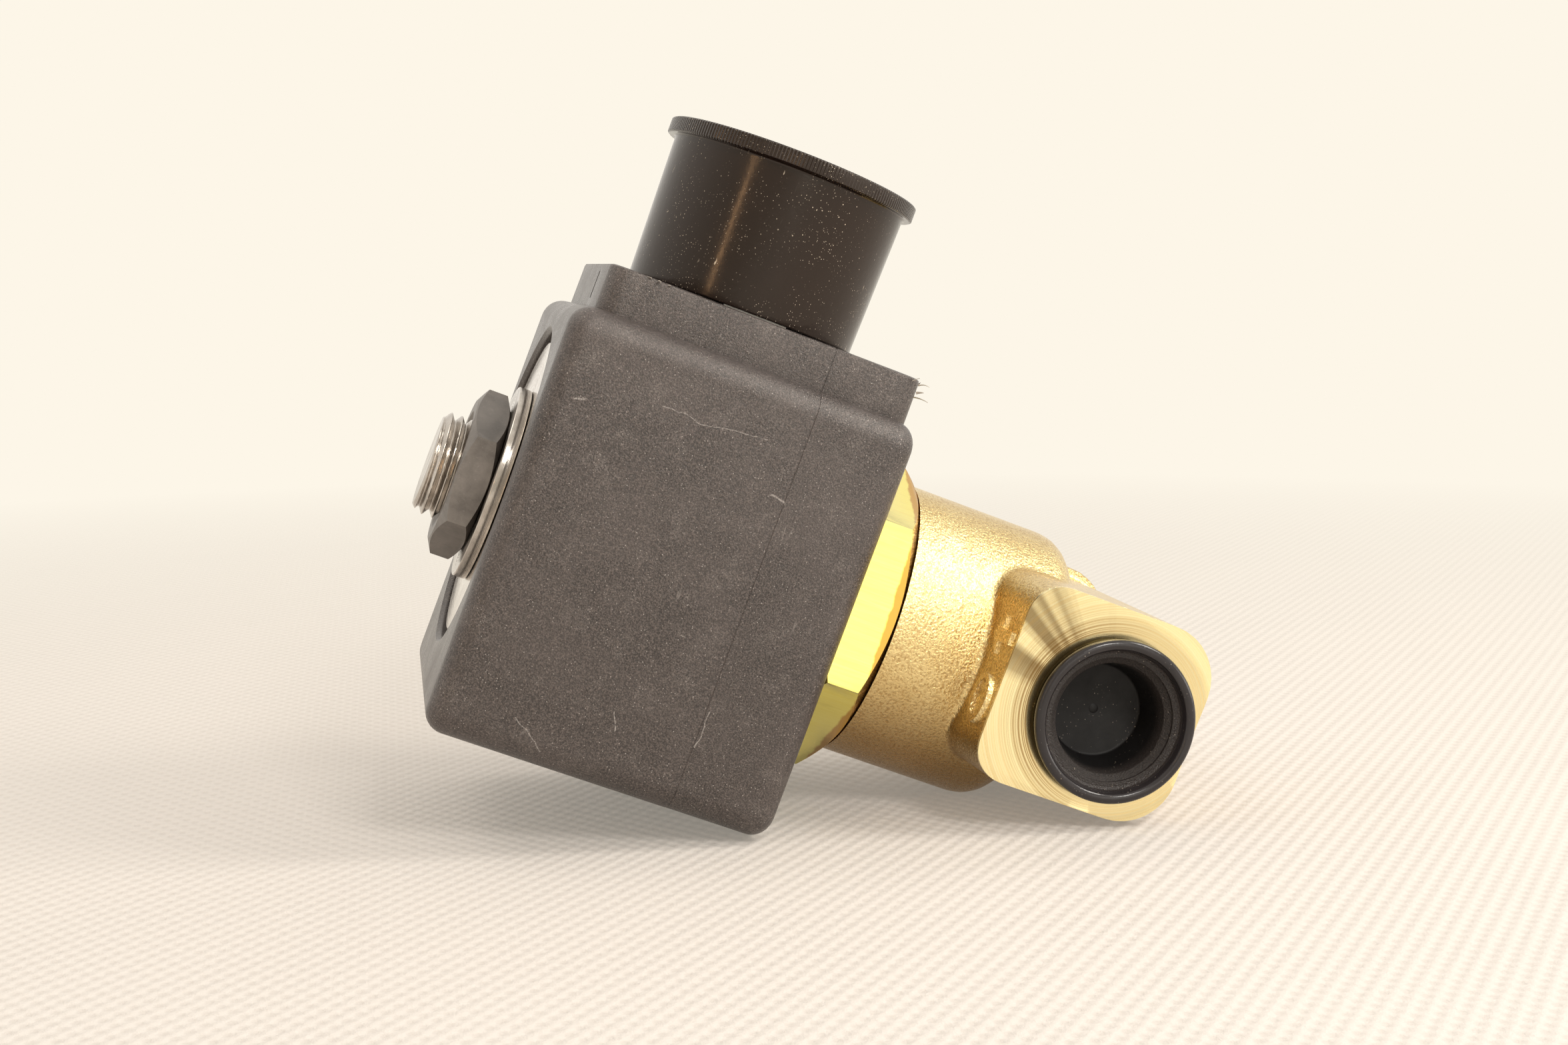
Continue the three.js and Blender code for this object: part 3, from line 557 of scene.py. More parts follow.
def cloth_floor():
    """Off-white non-woven cloth with rows of small pressed dots, which glows a little everywhere, a painted
    light that lifts its shadows, and blends into the backdrop far away.
    """
    n = Nodes("cloth_floor")
    x, y, _ = n.split(n.mm)
    across = n.math("SINE", n.times(x, 3.6))
    along = n.math("SINE", n.times(y, 2.6))
    dots = n.times(across, along)
    fibres = n.noise(2.2, 4, 0.7)
    waves = n.noise(0.02, 2, 0.5)
    colour = n.mix(n.ramp(dots, 0.1, 0.7, 0, 0.35), rgb(204, 196, 190), rgb(172, 161, 153))
    colour = n.mix(n.ramp(fibres, 0.35, 0.7, 0, 0.3), colour, rgb(208, 201, 195))
    relief = n.bump(n.math("ADD", n.times(dots, -0.7), fibres), 0.22, 0.7)
    relief = n.bump(waves, 4.0, 0.5, below=relief)
    n.set(Base_Color=colour, Roughness=0.85, Specular_IOR_Level=0.2, Normal=relief)
    # Painted light: the cloth glows with the backdrop's colour, a share of 0.22 near the valve that lifts
    # its shadows, rising to all of it far away.
    far = n.node("Emission", Color=BACKDROP)
    cloth_and_glow = n.node("MixShader")
    n.link(n.ramp(n.vector("LENGTH", n.mm), 50, 330, 0.22, 1.0), cloth_and_glow.inputs["Fac"])
    n.link(n.shader.outputs[0], cloth_and_glow.inputs[1])
    n.link(far.outputs[0], cloth_and_glow.inputs[2])
    clear = n.node("BsdfTransparent")
    geometry = n.node("NewGeometry")
    sides = n.node("MixShader")
    n.link(geometry.outputs["Backfacing"], sides.inputs["Fac"])
    n.link(cloth_and_glow.outputs[0], sides.inputs[1])
    n.link(clear.outputs[0], sides.inputs[2])
    n.link(sides.outputs[0], n.tree.nodes["Material Output"].inputs["Surface"])
    return n.material


# ---- mesh helpers ----


def add_object(name, data):
    """Puts new data into the scene as an object."""
    made = bpy.data.objects.new(name, data)
    scene.collection.objects.link(made)
    return made


def mesh_object(name, vertices, faces):
    """A mesh with its double points merged and its faces turned outwards."""
    mesh = bpy.data.meshes.new(name)
    mesh.from_pydata([tuple(v) for v in vertices], [], faces)
    made = add_object(name, mesh)
    bm = bmesh.new()
    bm.from_mesh(mesh)
    bmesh.ops.remove_doubles(bm, verts=bm.verts, dist=1e-5)
    bmesh.ops.recalc_face_normals(bm, faces=bm.faces)
    bm.to_mesh(mesh)
    bm.free()
    return made


def apply_modifiers(made):
    """Makes what the modifiers do to a mesh lasting."""
    evaluated = made.evaluated_get(bpy.context.evaluated_depsgraph_get())
    mesh = bpy.data.meshes.new_from_object(evaluated)
    made.modifiers.clear()
    made.data = mesh
    return made


def combine(made, other, operation):
    """Joins, cuts or intersects a mesh with another, which is used up."""
    modifier = made.modifiers.new("combine", "BOOLEAN")
    modifier.operation = operation
    modifier.solver = "EXACT"
    modifier.object = other
    apply_modifiers(made)
    bpy.data.objects.remove(other)
    return made


def cut(made, *cutters):
    """Cuts a mesh with others, which are used up."""
    for cutter in cutters:
        combine(made, cutter, "DIFFERENCE")
    return made


def soften(made, width, segments=2, angle=28):
    """Rounds every edge sharper than an angle."""
    modifier = made.modifiers.new("soften", "BEVEL")
    modifier.width = width
    modifier.segments = segments
    modifier.limit_method = "ANGLE"
    modifier.angle_limit = math.radians(angle)
    modifier.use_clamp_overlap = True
    return apply_modifiers(made)


def arc_points(before, corner, after, radius, steps=5):
    """A corner of an outline, replaced by an arc."""
    p = Vector(corner)
    to_a, to_b = Vector(before) - p, Vector(after) - p
    half = to_a.angle(to_b) / 2
    reach = min(radius / math.tan(half), to_a.length * 0.49, to_b.length * 0.49)
    start, end = p + to_a.normalized() * reach, p + to_b.normalized() * reach
    bend = reach * math.tan(half)
    centre = p + (to_a.normalized() + to_b.normalized()).normalized() * (bend / math.sin(half))
    first, last = start - centre, end - centre
    swing = first.angle_signed(last)
    return [centre + Matrix.Rotation(-swing * i / steps, 2) @ first for i in range(steps + 1)]


def rounded_outline(points, closed=False):
    """An outline of (along, radius), with a third number at each corner that has a fillet."""
    result = []
    count = len(points)
    for i, (along, radius, *fillet) in enumerate(points):
        at_end = not closed and i in (0, count - 1)
        if at_end or not fillet:
            result.append(Vector((along, radius)))
            continue
        before, after = points[i - 1][:2], points[(i + 1) % count][:2]
        result.extend(arc_points(before, (along, radius), after, *fillet))
    return result


AXES = {
    "x": (Vector((1, 0, 0)), Vector((0, 1, 0)), Vector((0, 0, 1))),
    "y": (Vector((0, 1, 0)), Vector((0, 0, 1)), Vector((1, 0, 0))),
    "z": (Vector((0, 0, 1)), Vector((1, 0, 0)), Vector((0, 1, 0))),
}


def rings_object(name, outline, axis="x", centre=(0, 0, 0), segments=128, closed=False, relief=None):
    """A turned shape. relief changes a ring's radius with its place along the axis and its angle."""
    along_axis, side, up = AXES[axis]
    centre = Vector(centre)
    vertices, rings = [], []
    for along, radius in outline:
        if radius < 1e-6:
            rings.append([len(vertices)] * segments)
            vertices.append(centre + along_axis * along)
            continue
        ring = []
        for i in range(segments):
            angle = 2 * math.pi * i / segments
            r = relief(along, radius, angle) if relief else radius
            out = math.cos(angle) * side + math.sin(angle) * up
            ring.append(len(vertices))
            vertices.append(centre + along_axis * along + r * out)
        rings.append(ring)
    faces = []
    pairs = list(zip(rings, rings[1:]))
    if closed:
        pairs.append((rings[-1], rings[0]))
    for low, high in pairs:
        for i in range(segments):
            j = (i + 1) % segments
            corners = list(dict.fromkeys((low[i], low[j], high[j], high[i])))
            if len(corners) > 2:
                faces.append(corners)
    return mesh_object(name, vertices, faces)


def turned(name, points, axis="x", centre=(0, 0, 0), segments=128, closed=False):
    """A turned shape from an outline with fillets."""
    return rings_object(name, rounded_outline(points, closed), axis, centre, segments, closed)


def plain_ring(name, start, end, inner, outer, edge):
    """A flat ring with all its edges rounded."""
    points = [(start, inner, edge), (start, outer, edge), (end, outer, edge), (end, inner, edge)]
    return turned(name, points, closed=True)


def rod(name, start, end, radius, axis="x", centre=(0, 0, 0), segments=64):
    points = [(start, 0), (start, radius), (end, radius), (end, 0)]
    return turned(name, points, axis, centre, segments)


def cuboid(name, low, high):
    corners = [Vector(corner) for corner in product(*zip(low, high))]
    faces = [(0, 1, 3, 2), (4, 6, 7, 5), (0, 4, 5, 1), (2, 3, 7, 6), (0, 2, 6, 4), (1, 5, 7, 3)]
    return mesh_object(name, corners, faces)


def rectangle_ring(u0, u1, v0, v1, radii, steps=7):
    """A rounded rectangle's points, from its lowest right corner round. radii: 4 corners in that order."""
    corners = [(u1, v0, -90), (u1, v1, 0), (u0, v1, 90), (u0, v0, 180)]
    points = []
    for (u, v, start), radius in zip(corners, radii):
        cu = u - math.copysign(radius, u - (u0 + u1) / 2)
        cv = v - math.copysign(radius, v - (v0 + v1) / 2)
        for i in range(steps + 1):
            angle = math.radians(start + 90 * i / steps)
            points.append((cu + radius * math.cos(angle), cv + radius * math.sin(angle)))
    return points


def loft(name, sections, axis):
    """Joins outlines of equal length, each (distance along the axis, its points), and closes both ends."""
    along_axis, side, up = AXES[axis]
    vertices = []
    for along, points in sections:
        vertices.extend(along_axis * along + side * u + up * v for u, v in points)
    size = len(sections[0][1])
    faces = []
    for s in range(len(sections) - 1):
        for i in range(size):
            j = (i + 1) % size
            faces.append((s * size + i, s * size + j, (s + 1) * size + j, (s + 1) * size + i))
    faces.append(list(range(size)))
    faces.append([(len(sections) - 1) * size + i for i in range(size)])
    return mesh_object(name, vertices, faces)


def hexagon_prism(name, flats, turn, start, end):
    """A hexagonal bar along X, given by the size across its flats."""
    radius = flats / math.sqrt(3)
    angles = [turn + math.radians(60 * i + 30) for i in range(6)]
    points = [(radius * math.cos(angle), radius * math.sin(angle)) for angle in angles]
    return loft(name, [(start, points), (end, points)], "x")


def finish(made, body, material, replaced=(), sharp=32):
    """Moves a finished shape into the frame, gives it its looks and fastens it to its body."""
    made.data.transform(TO_FRAME)
    for polygon in made.data.polygons:
        polygon.use_smooth = True
    made.data.set_sharp_from_angle(angle=math.radians(sharp))
    made.data.materials.clear()
    made.data.materials.append(material)
    if body:
        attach(made, body)
    if replaced:
        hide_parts(*replaced)
    return made


# ---- coil housing ----


def case_sections():
    """Sections along X of the coil case, with rounded ends and a fine parting groove."""
    half, low, high = CASE_HIGH.y, CASE_LOW.z, CASE_TOP
    angles = [math.pi / 2 * i / 8 for i in range(9)]
    end = [(CASE_ROUNDING * (1 - math.cos(a)), CASE_ROUNDING * (1 - math.sin(a))) for a in angles]
    groove = [(-0.06, 0.0), (-0.02, 0.05), (0.02, 0.05), (0.06, 0.015)]
    places = end + [(PARTING_X + dx, inset) for dx, inset in groove]
    places += [(CASE_HIGH.x - x, max(0.015, inset)) for x, inset in reversed(end)]
    sections = []
    for x, inset in places:
        edge = half - inset
        corners = [CASE_CORNER - inset] * 4
        sections.append((x, rectangle_ring(-edge, edge, low + inset, high - inset, corners, steps=8)))
    return sections


def block_sections():
    """Sections along Z of the terminal block, which has a small rounding at its top."""
    x0, x1 = BLOCK_X
    top = CASE_HIGH.z
    insets = [(CASE_TOP - 4, 0), (CASE_TOP + 0.2, 0), (top - 0.35, 0.03), (top - 0.1, 0.1), (top, 0.32)]
    sections = []
    for z, inset in insets:
        edge = BLOCK_HALF_DEPTH - inset
        sections.append((z, rectangle_ring(x0 + inset, x1 - inset, -edge, edge, [2 - inset] * 4)))
    return sections


def pocket(node, gap, top=None):
    """The room cut for a part that stands in the coil's moulding, with a gap round it."""
    low, high = box_mm(node)
    end = high.z if top is None else top
    return cuboid("pocket", [edge - gap for edge in low], (high.x + gap, high.y + gap, end))


def make_housing():
    """The coil's case and terminal block, with their openings."""
    case = loft("coil_housing_shell", case_sections(), "x")
    block = loft("block", block_sections(), "z")
    top = CASE_HIGH.z
    line_x = PARTING_X + 0.3
    outer = cuboid("line", (line_x - 0.07, -20, CASE_TOP - 0.2), (line_x + 0.07, 20, top + 2))
    depth = BLOCK_HALF_DEPTH - 0.09
    inner = cuboid("inner", (line_x - 1, -depth, CASE_TOP - 1), (line_x + 1, depth, top - 0.09))
    cut(outer, inner)
    cut(block, outer)
    combine(case, block, "UNION")
    recess = [(-1, 0), (-1, RECESS_RADIUS + 1.4), (0.4, RECESS_RADIUS, 0.3)]
    recess += [(CAVITY_END, RECESS_RADIUS), (CAVITY_END, 0)]
    cut(case, turned("recess", recess, segments=160))
    seal_start, seal_radius = SEAL_POCKET
    cut(case, rod("tube_hole", CAVITY_END - 1, 40, TUBE_HOLE), rod("seal", seal_start, 40, seal_radius))
    for node in TERMINALS:
        cut(case, pocket(node, 0.12))
    cut(case, pocket("connector_nut", 0.15, 30))
    cut(case, rod("screw_hole", 16, 22, 1.5, "z", (CAP_CENTRE[0], 0, 0), 32))
    middle = (CASE_TOP + top) / 2
    cut(case, cuboid("key_slot", (0, -5.5, middle - 1.3), (BLOCK_X[0] + 0.8, -4.9, middle + 1.3)))
    soften(case, 0.09, 2, 35)
    return case


def make_flash():
    """Slivers of moulding flash that stand off the block's top edge."""
    rng = random.Random(5)
    vertices, faces = [], []
    half = BLOCK_HALF_DEPTH
    top = CASE_HIGH.z
    corner_roots = [(31.5, -13.2, -0.5), (31.65, -12.3, -1.6), (30.7, -14.0, -0.3)]
    corner_roots += [(31.7, -10.9, -0.8), (31.4, -13.8, -1.2)]
    edge_roots = [(6.4, -half, -0.1), (7.3, -half, -0.15), (5.6, -half, -0.1)]

    def draw(*ranges):
        return Vector([rng.uniform(low, high) for low, high in ranges])

    for x, y, drop in corner_roots + edge_roots:
        at_corner = x > 20
        length = rng.uniform(0.7, 1.5) if at_corner else rng.uniform(0.25, 0.5)
        heading = draw((0.2, 0.9) if at_corner else (-0.3, 0.3), (-0.6, 0), (0.1, 0.6)).normalized()
        bend = draw((-0.5, 0.5), (-0.5, 0.5), (-0.9, -0.1))
        side = heading.cross(Vector((rng.uniform(-1, 1), 0.3, 1))).normalized()
        thick = heading.cross(side).normalized() * 0.025
        rows = []
        for i in range(6):
            share = i / 5
            middle = Vector((x, y, top + drop)) + heading * length * share
            middle += bend * length * share * share * 0.5
            width = side * 0.16 * (1 - share * 0.9)
            left, right = middle - width, middle + width
            rows.append(len(vertices))
            vertices += [left - thick, right - thick, right + thick, left + thick]
        for a, b in zip(rows, rows[1:]):
            for k in range(4):
                m = (k + 1) % 4
                faces.append((a + k, a + m, b + m, b + k))
        faces.append((rows[0], rows[0] + 3, rows[0] + 2, rows[0] + 1))
        faces.append((rows[-1], rows[-1] + 1, rows[-1] + 2, rows[-1] + 3))
    return mesh_object("mould_flash", vertices, faces)


# ---- cap ----


def make_cap():
    """A thin cup with a sharp-edged flange round its closed end, which has a low border."""
    bottom, top = CAP_LOW.z, CAP_HIGH.z
    flange = CAP_HIGH.x - CAP_CENTRE[0]
    under = top - CAP_FLANGE
    bore = 10.3
    outside = [
        (bottom, bore),
        (bottom, 10.98, 0.15),
        (under, 11.32, 0.25),
        (under, flange - 0.2, 0.1),
        (under + 0.12, flange, 0.08),
        (top - 0.12, flange, 0.08),
        (top, flange - 0.15, 0.08),
        (top, flange - 1.1, 0.2),
        (top - 0.25, flange - 1.5, 0.2),
        (top - 0.25, 1.6, 0.2),
        (top - 0.1, 1.4, 0.1),
        (top - 0.1, 0),
    ]
    inside = [(top - 1.3, 0), (top - 1.3, bore, 0.5), (bottom, bore)]
    outline = rounded_outline(outside) + rounded_outline(inside)
    return rings_object("cap_shell", outline, "z", (*CAP_CENTRE, 0), 160, closed=True)


# ---- nut, washer, stud and hexagon ----


def make_nut():
    """The coil's nut, with chamfered corners and a countersunk hole."""
    start, end = NUT_LOW.x, NUT_HIGH.x
    corner = NUT_FLATS / math.sqrt(3)
    face = NUT_FLATS / 2 - 0.2
    nut = hexagon_prism("nut_forging", NUT_FLATS, 0, start, end)
    corners = [(start + 0.72, corner + 0.05), (end - 0.72, corner + 0.05)]
    envelope = [(start, 0), (start, face), *corners, (end, face), (end, 0)]
    combine(nut, turned("envelope", envelope), "INTERSECT")
    bore = [(start + 0.5, 5.15), (end - 0.5, 5.15)]
    hole = [(start - 1, 0), (start - 1, 6.8), *bore, (end + 1, 6.8), (end + 1, 0)]
    cut(nut, turned("hole", hole, segments=96))
    return soften(nut, 0.13, 3, 24)


def thread_relief(along, radius, angle):
    """The radius of a helical thread with a short run-out at its end."""
    if along > THREAD_END:
        return radius
    phase = (along / STUD_PITCH - angle / (2 * math.pi)) % 1.0
    ridge = abs(phase - 0.5) * 2
    ridge = min(1.0, max(0.0, (ridge - 0.12) / 0.78))
    thread = STUD_ROOT + (STUD_CREST - STUD_ROOT) * ridge
    return min(radius, thread, STUD_TIP + (along - CORE_LOW.x) * 1.1)


def make_core():
    """The stud with its helical thread, and the core below it with a groove for the shading ring."""
    tip, end = CORE_LOW.x, CORE_HIGH.x
    steps = 170
    outline = [(tip, 0), (tip, 3.4), (tip, STUD_TIP)]
    outline += [(tip + (THREAD_END - tip) * i / steps, STUD_CREST) for i in range(1, steps + 1)]
    outline += [(1.5, STUD_CREST), (1.5, 6.2), (1.6, 6.35), (end - 0.1, 6.35), (end, 6.2), (end, 5.4)]
    outline += [(end - 1.2, 5.4), (end - 1.2, 4.4), (end, 4.4), (end, 0)]
    outline = [Vector(point) for point in outline]
    return rings_object("stud_and_core", outline, segments=112, relief=thread_relief)


def make_hexagon():
    """The bright hexagon that holds the tube, chamfered at its body end, with a spigot."""
    start, end = BASE_LOW.x, HEX_END + 0.1
    corner = HEX_FLATS / math.sqrt(3)
    face = HEX_FLATS / 2 - 0.4
    base = hexagon_prism("hexagon_bar", HEX_FLATS, -HEX_TURN, start, end)
    envelope = [(start, 0), (start, corner - 0.35), (start + 0.3, corner + 0.05)]
    envelope += [(end - 1.45, corner + 0.02), (end, face), (end, 0)]
    combine(base, turned("envelope", envelope, segments=160), "INTERSECT")
    tail = BASE_HIGH.x
    spigot = [(end - 1, 0), (end - 1, 9.4), (38.9, 9.4), (38.9, 9.9, 0.15), (tail, 9.9, 0.4), (tail, 0)]
    combine(base, turned("spigot", spigot), "UNION")
    bore = [(start - 1, 0), (start - 1, 7.12), (40.5, 7.12), (40.5, 6.55), (tail + 1, 6.55), (tail + 1, 0)]
    cut(base, turned("bore", bore))
    return soften(base, 0.1, 2, 22)


# ---- valve body ----


def port_cutter(side):
    """The drilled port, its mouth and the turned ring around it."""
    drill, end = PORT_DRILL
    outline = [(-2, 0), (-2, 8.75), (0, 8.75), (0.15, 7.7), (0.15, 6.9), (1, drill), (end, drill), (end, 0)]
    points = [(side * (PORT_FACE - depth), radius) for depth, radius in outline]
    return turned("port", points, "y", (PORT_X, 0, 0))


def drafted(made, side):
    """Slopes an arm's near side, so that the arm widens from its port face to the barrel."""
    for vertex in made.data.vertices:
        x, y, _ = vertex.co
        share = max(0, (PORT_X - x) / (PORT_X - PORT_BLOCK_X))
        vertex.co.x -= share * PORT_DRAFT * (PORT_FACE - side * y)
    return made


def raised_marks():
    """A plain flow arrow and a plain oval on the side of the port block."""
    x0, x1 = PORT_BLOCK_X - 0.45, PORT_BLOCK_X + 1
    y, z = MARK_Y, 0.95
    arrow = [(-1.7, 2.2), (0.2, 2.2), (0.2, 1.0), (1.5, 2.8), (0.2, 4.6), (0.2, 3.4), (-1.7, 3.4)]
    arrow = [(y + across, z + up) for across, up in arrow]
    yield drafted(loft("arrow", [(x0, arrow), (x1, arrow)], "x"), -1)

    def oval(shrink):
        turns = [2 * math.pi * i / 40 for i in range(40)]
        return [(y + (1.5 - shrink) * math.cos(t), z - 3.2 + (2.4 - shrink) * math.sin(t)) for t in turns]

    ring = loft("oval", [(x0, oval(0.08)), (x0 + 0.15, oval(0)), (x1, oval(0))], "x")
    cut(ring, loft("hole", [(x0 - 1, oval(0.6)), (x1 + 1, oval(0.6))], "x"))
    yield drafted(ring, -1)


def port_arm(top, near, far, side):
    """A length of an arm that a port is drilled in, with larger corners on its far side."""
    outline = rectangle_ring(PORT_BOTTOM, top, PORT_BLOCK_X, BODY_HIGH.x, [3.2, 5.2, 5.2, 3.2], steps=8)
    return drafted(loft("arm", [(near, outline), (far, outline)], "y"), side)


def make_body():
    """The barrel and its two arms, blended and blasted, then faced, bored and drilled."""
    start = BODY_LOW.x
    reach = PORT_FACE + 2
    barrel = [(start - 2, 0), (start - 2, BARREL_RADIUS)]
    barrel += [(BARREL_END, BARREL_RADIUS, 3.4), (BARREL_END, 0)]
    body = turned("brass_forging", barrel)
    combine(body, port_arm(PORT_TOP, -reach, 1, -1), "UNION")
    combine(body, port_arm(PORT_TOP, -1, reach, 1), "UNION")
    combine(body, port_arm(LIP_TOP, LIP_START, reach, 1), "UNION")
    remesh = body.modifiers.new("remesh", "REMESH")
    remesh.mode = "VOXEL"
    remesh.voxel_size = 0.25
    smooth = body.modifiers.new("smooth", "SMOOTH")
    smooth.factor = 0.5
    smooth.iterations = 4
    apply_modifiers(body)
    for mark in raised_marks():
        combine(body, mark, "UNION")
    cut(body, cuboid("trim", (start - 5, -30, -30), (start, 30, 30)))
    cut(body, cuboid("trim", (30, -40, -30), (80, -PORT_FACE, 30)))
    cut(body, cuboid("trim", (30, PORT_FACE, -30), (80, 40, 30)))
    chamber = [(start - 1, 0), (start - 1, 11.1), (38.85, 11.1), (38.85, 10.05), (42.8, 10.05), (42.8, 7.6)]
    chamber += [(46.3, 7.6), (46.3, 3.4), (43.6, 2.4), (43.0, 2.1), (43.0, 0)]
    cut(body, turned("chamber", chamber, segments=96))
    cut(body, port_cutter(-1), port_cutter(1))
    cut(body, rod("inlet", 45.3, PORT_X, 1.4, "x", (0, -5.5, 0), 24))
    cut(body, rod("orifice", 42, PORT_X, 1.5, segments=24))
    cut(body, rod("outlet", -2.2, 5.2, 2.4, "y", (PORT_X, 0, 0), 32))
    return body


# ---- plugs ----


def make_plug(name, side):
    """A flanged cup that closes a port. side is -1 at the front and 1 at the rear."""
    front, end = -PLUG_LOW.y, -PLUG_HIGH.y
    outside = [(end, 0), (end, 5.7, 0.5), (18.45, 5.7, 0.1), (18.45, 7.5, 0.55), (front, 7.5, 0.62)]
    inside = [(front, 6.6, 0.45), (18.6, 6.35, 0.2), (17.7, 5.1, 0.25), (13.2, 4.35, 0.3)]
    middle = [(12.9, 0.45), (12.98, 0.3), (12.98, 0)]
    points = [(side * distance, *rest) for distance, *rest in outside + inside + middle]
    return turned(name, points, "y", (PORT_X, 0, 0))


# ---- return spring ----


def make_spring():
    """The spring's wire, with a closed turn at each end."""
    low, high = SPRING_LOW.x + SPRING_WIRE, SPRING_HIGH.x - SPRING_WIRE
    mean = SPRING_HIGH.y - 1.1 * SPRING_WIRE
    closed = 2.2 * SPRING_WIRE
    rise = (high - low - 2 * closed) / (SPRING_TURNS - 2)
    steps, sides = 28 * SPRING_TURNS, 10
    vertices = []
    for i in range(steps + 1):
        turn = SPRING_TURNS * i / steps
        open_turns = min(max(turn - 1, 0), SPRING_TURNS - 2)
        along = low + closed * (min(turn, 1) + max(turn - SPRING_TURNS + 1, 0)) + rise * open_turns
        angle = 2 * math.pi * turn
        out = Vector((0, math.cos(angle), math.sin(angle)))
        for j in range(sides):
            swing = 2 * math.pi * j / sides
            ring = out * (mean + SPRING_WIRE * math.cos(swing))
            vertices.append(Vector((along + SPRING_WIRE * math.sin(swing), 0, 0)) + ring)
    faces = [tuple(range(sides)), tuple(range(steps * sides, (steps + 1) * sides))]
    for i in range(steps):
        for j in range(sides):
            a, b = i * sides + j, i * sides + (j + 1) % sides
            faces.append((a, b, b + sides, a + sides))
    return mesh_object("spring_turns", vertices, faces)


# ---- pieces ----

BACKDROP = rgb(253, 246, 232)

make_camera()

nylon = coil_nylon()
pale_flash = plain_material("flash_plastic", rgb(196, 188, 178), rgb(120, 112, 108), (0.5, 0.7))
cap_black = gloss_plastic("cap_black", rgb(18, 8, 4), (0.12, 0.24), 0.85)
plug_black = plug_plastic()
brass_forged = forged_brass()
brass_bar = bar_brass()
bright_steel = turned_metal("bright_steel", rgb(205, 198, 190), rgb(158, 150, 142), (0.14, 0.32))
plate_steel = turned_metal("plate_steel", rgb(238, 232, 224), rgb(206, 198, 190), (0.12, 0.26), rings=5)
nut_steel = dark_plated_steel()
rubber = plain_material("seal_rubber", rgb(42, 41, 40), rgb(22, 21, 21), (0.55, 0.8))
tinned = plain_metal("tinned", rgb(206, 203, 196), rgb(160, 157, 150), 0.8)
nut_brass = plain_metal("nut_brass", rgb(226, 196, 112), rgb(168, 134, 64), 1.5)
natural_nylon = plain_material("natural_nylon", rgb(206, 192, 162), rgb(174, 158, 126), (0.45, 0.6), 0.6)
spring_wire = plain_metal("spring_wire", rgb(190, 188, 184), rgb(128, 126, 122), 2.0)
ring_copper = plain_metal("ring_copper", rgb(206, 128, 84), rgb(150, 82, 48), 1.5)
winding = wound_wire()

finish(make_housing(), "coil", nylon, ["coil_housing"])
finish(make_flash(), "coil", pale_flash)
finish(make_cap(), "cap", cap_black, ["terminal_cap"])
finish(make_nut(), "nut", nut_steel, ["coil_nut"])
washer = plain_ring("washer_disc", WASHER_LOW.x, WASHER_HIGH.x, 5.25, WASHER_HIGH.y, 0.12)
finish(washer, "washer", bright_steel, ["flat_washer"])
plate = plain_ring("pole_disc", PLATE_LOW.x, PLATE_HIGH.x, TUBE_HOLE, PLATE_HIGH.y, 0.15)
finish(plate, "coil", plate_steel, ["outer_pole_plate"])
finish(make_core(), "body", bright_steel, ["fixed_core"], sharp=50)
finish(make_hexagon(), "body", brass_bar, ["tube_base"], sharp=40)
finish(make_body(), "body", brass_forged, ["valve_body"], sharp=38)
front_plug, rear_plug = make_plug("front_plug_cup", -1), make_plug("rear_plug_cup", 1)
finish(front_plug, "front_plug", plug_black, ["front_port_plug"])
finish(rear_plug, "rear_plug", plug_black, ["rear_port_plug"])

spring = finish(make_spring(), None, spring_wire, ["return_spring"])
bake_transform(spring)

CARRIED = {
    "inner_pole_plate": plate_steel,
    "yoke_tube": plate_steel,
    "bobbin": natural_nylon,
    "copper_winding": winding,
    **dict.fromkeys(TERMINALS, tinned),
    "connector_nut": nut_brass,
    "plunger": bright_steel,
    "plunger_seal": rubber,
    "armature_tube": bright_steel,
    "shading_ring": ring_copper,
    "coil_seal": rubber,
    "body_seal": rubber,
}
for node, material in CARRIED.items():
    for material_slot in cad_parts[node].material_slots:
        material_slot.material = material

# ---- stage and light ----


def lowest_along(normal):
    """The distance along a direction of the shown object's lowest point."""
    graph = bpy.context.evaluated_depsgraph_get()
    shown = [piece.evaluated_get(graph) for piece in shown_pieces()]
    return min((one.matrix_world @ v.co).dot(normal) for one in shown for v in one.data.vertices)


def make_stage():
    """A cloth that the valve lies tipped on, touching the coil's edge and the port block."""
    normal = Vector((-math.sin(TILT), 0, math.cos(TILT)))
    along = Vector((math.cos(TILT), 0, math.sin(TILT)))
    across = normal.cross(along)
    size = 1.6
    middle = normal * lowest_along(normal)
    corners = [(-size, -size, 0), (size, -size, 0), (size, size, 0), (-size, size, 0)]
    floor = mesh_object("floor", corners, [(0, 1, 2, 3)])
    floor.matrix_world = Matrix.Translation(middle) @ Matrix((along, across, normal)).transposed().to_4x4()
    if floor.data.polygons[0].normal.z < 0:
        floor.data.flip_normals()
    floor.data.materials.append(cloth_floor())


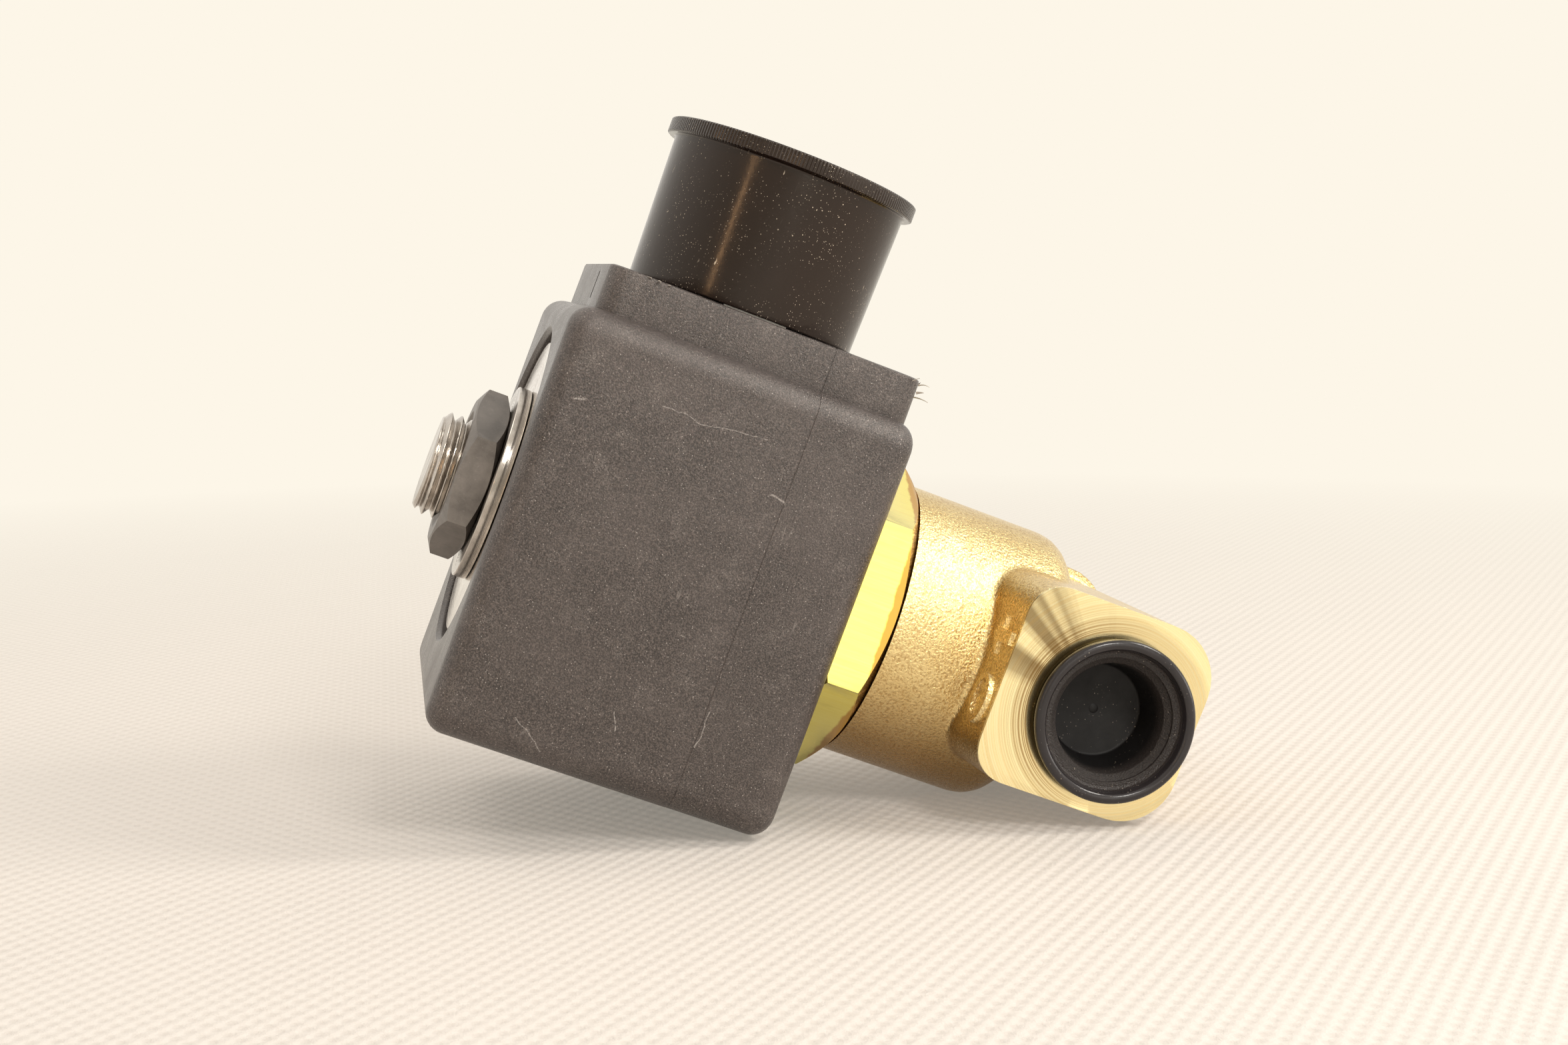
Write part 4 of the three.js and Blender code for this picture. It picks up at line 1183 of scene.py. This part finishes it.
def area_light(name, place, target, size, energy, colour):
    """A soft light at a place in the coil's millimetres, turned to a target. size is in metres."""
    data = bpy.data.lights.new(name, "AREA")
    data.shape = "RECTANGLE"
    data.size, data.size_y = size
    data.energy = energy
    data.color = colour
    lamp = add_object(name, data)
    place = TO_FRAME @ Vector(place)
    heading = TO_FRAME @ Vector(target) - place
    lamp.matrix_world = Matrix.Translation(place) @ heading.to_track_quat("-Z", "Y").to_matrix().to_4x4()


def make_world():
    """A warm pale room that is darker and browner on the camera's side."""
    world = bpy.data.worlds.new("room")
    scene.world = world
    world.use_nodes = True
    nodes, link = world.node_tree.nodes, world.node_tree.links.new
    background = nodes["Background"]
    coordinates = nodes.new("ShaderNodeTexCoord")
    facing = nodes.new("ShaderNodeVectorMath")
    facing.operation = "DOT_PRODUCT"
    facing.inputs[1].default_value = Vector((-0.2, -0.93, -0.1)).normalized()
    link(coordinates.outputs["Generated"], facing.inputs[0])
    ramp = nodes.new("ShaderNodeValToRGB")
    link(facing.outputs["Value"], ramp.inputs["Fac"])
    light, dark = ramp.color_ramp.elements
    light.position, light.color = 0.1, (1.05, 1.0, 0.92, 1)
    dark.position, dark.color = 0.85, (0.72, 0.66, 0.56, 1)
    link(ramp.outputs[0], background.inputs["Color"])
    seen = nodes.new("ShaderNodeBackground")
    seen.inputs["Color"].default_value = BACKDROP
    path = nodes.new("ShaderNodeLightPath")
    chosen = nodes.new("ShaderNodeMixShader")
    link(path.outputs["Is Camera Ray"], chosen.inputs["Fac"])
    link(background.outputs[0], chosen.inputs[1])
    link(seen.outputs[0], chosen.inputs[2])
    link(chosen.outputs[0], nodes["World Output"].inputs["Surface"])


make_world()
make_stage()
area_light("key", (190, -90, 330), (25, 0, 0), (0.12, 0.12), 0.75, (1.0, 0.96, 0.88))
area_light("window", (30, -330, 280), (20, 0, 10), (0.1, 0.1), 0.8, (1.0, 0.97, 0.92))
area_light("card", (118, -370, 104), (30, 0, 0), (0.2, 0.2), 0.16, (1.0, 0.96, 0.9))
area_light("side", (-260, 60, 240), (5, 0, 5), (0.12, 0.12), 0.18, (1.0, 0.94, 0.86))
area_light("right", (330, -130, 70), (20, 0, 20), (0.2, 0.24), 0.5, (1.0, 0.95, 0.88))
area_light("bulb", (-231, -247, 14), (16, 0, 28), (0.008, 0.16), 0.06, (1.0, 0.62, 0.32))
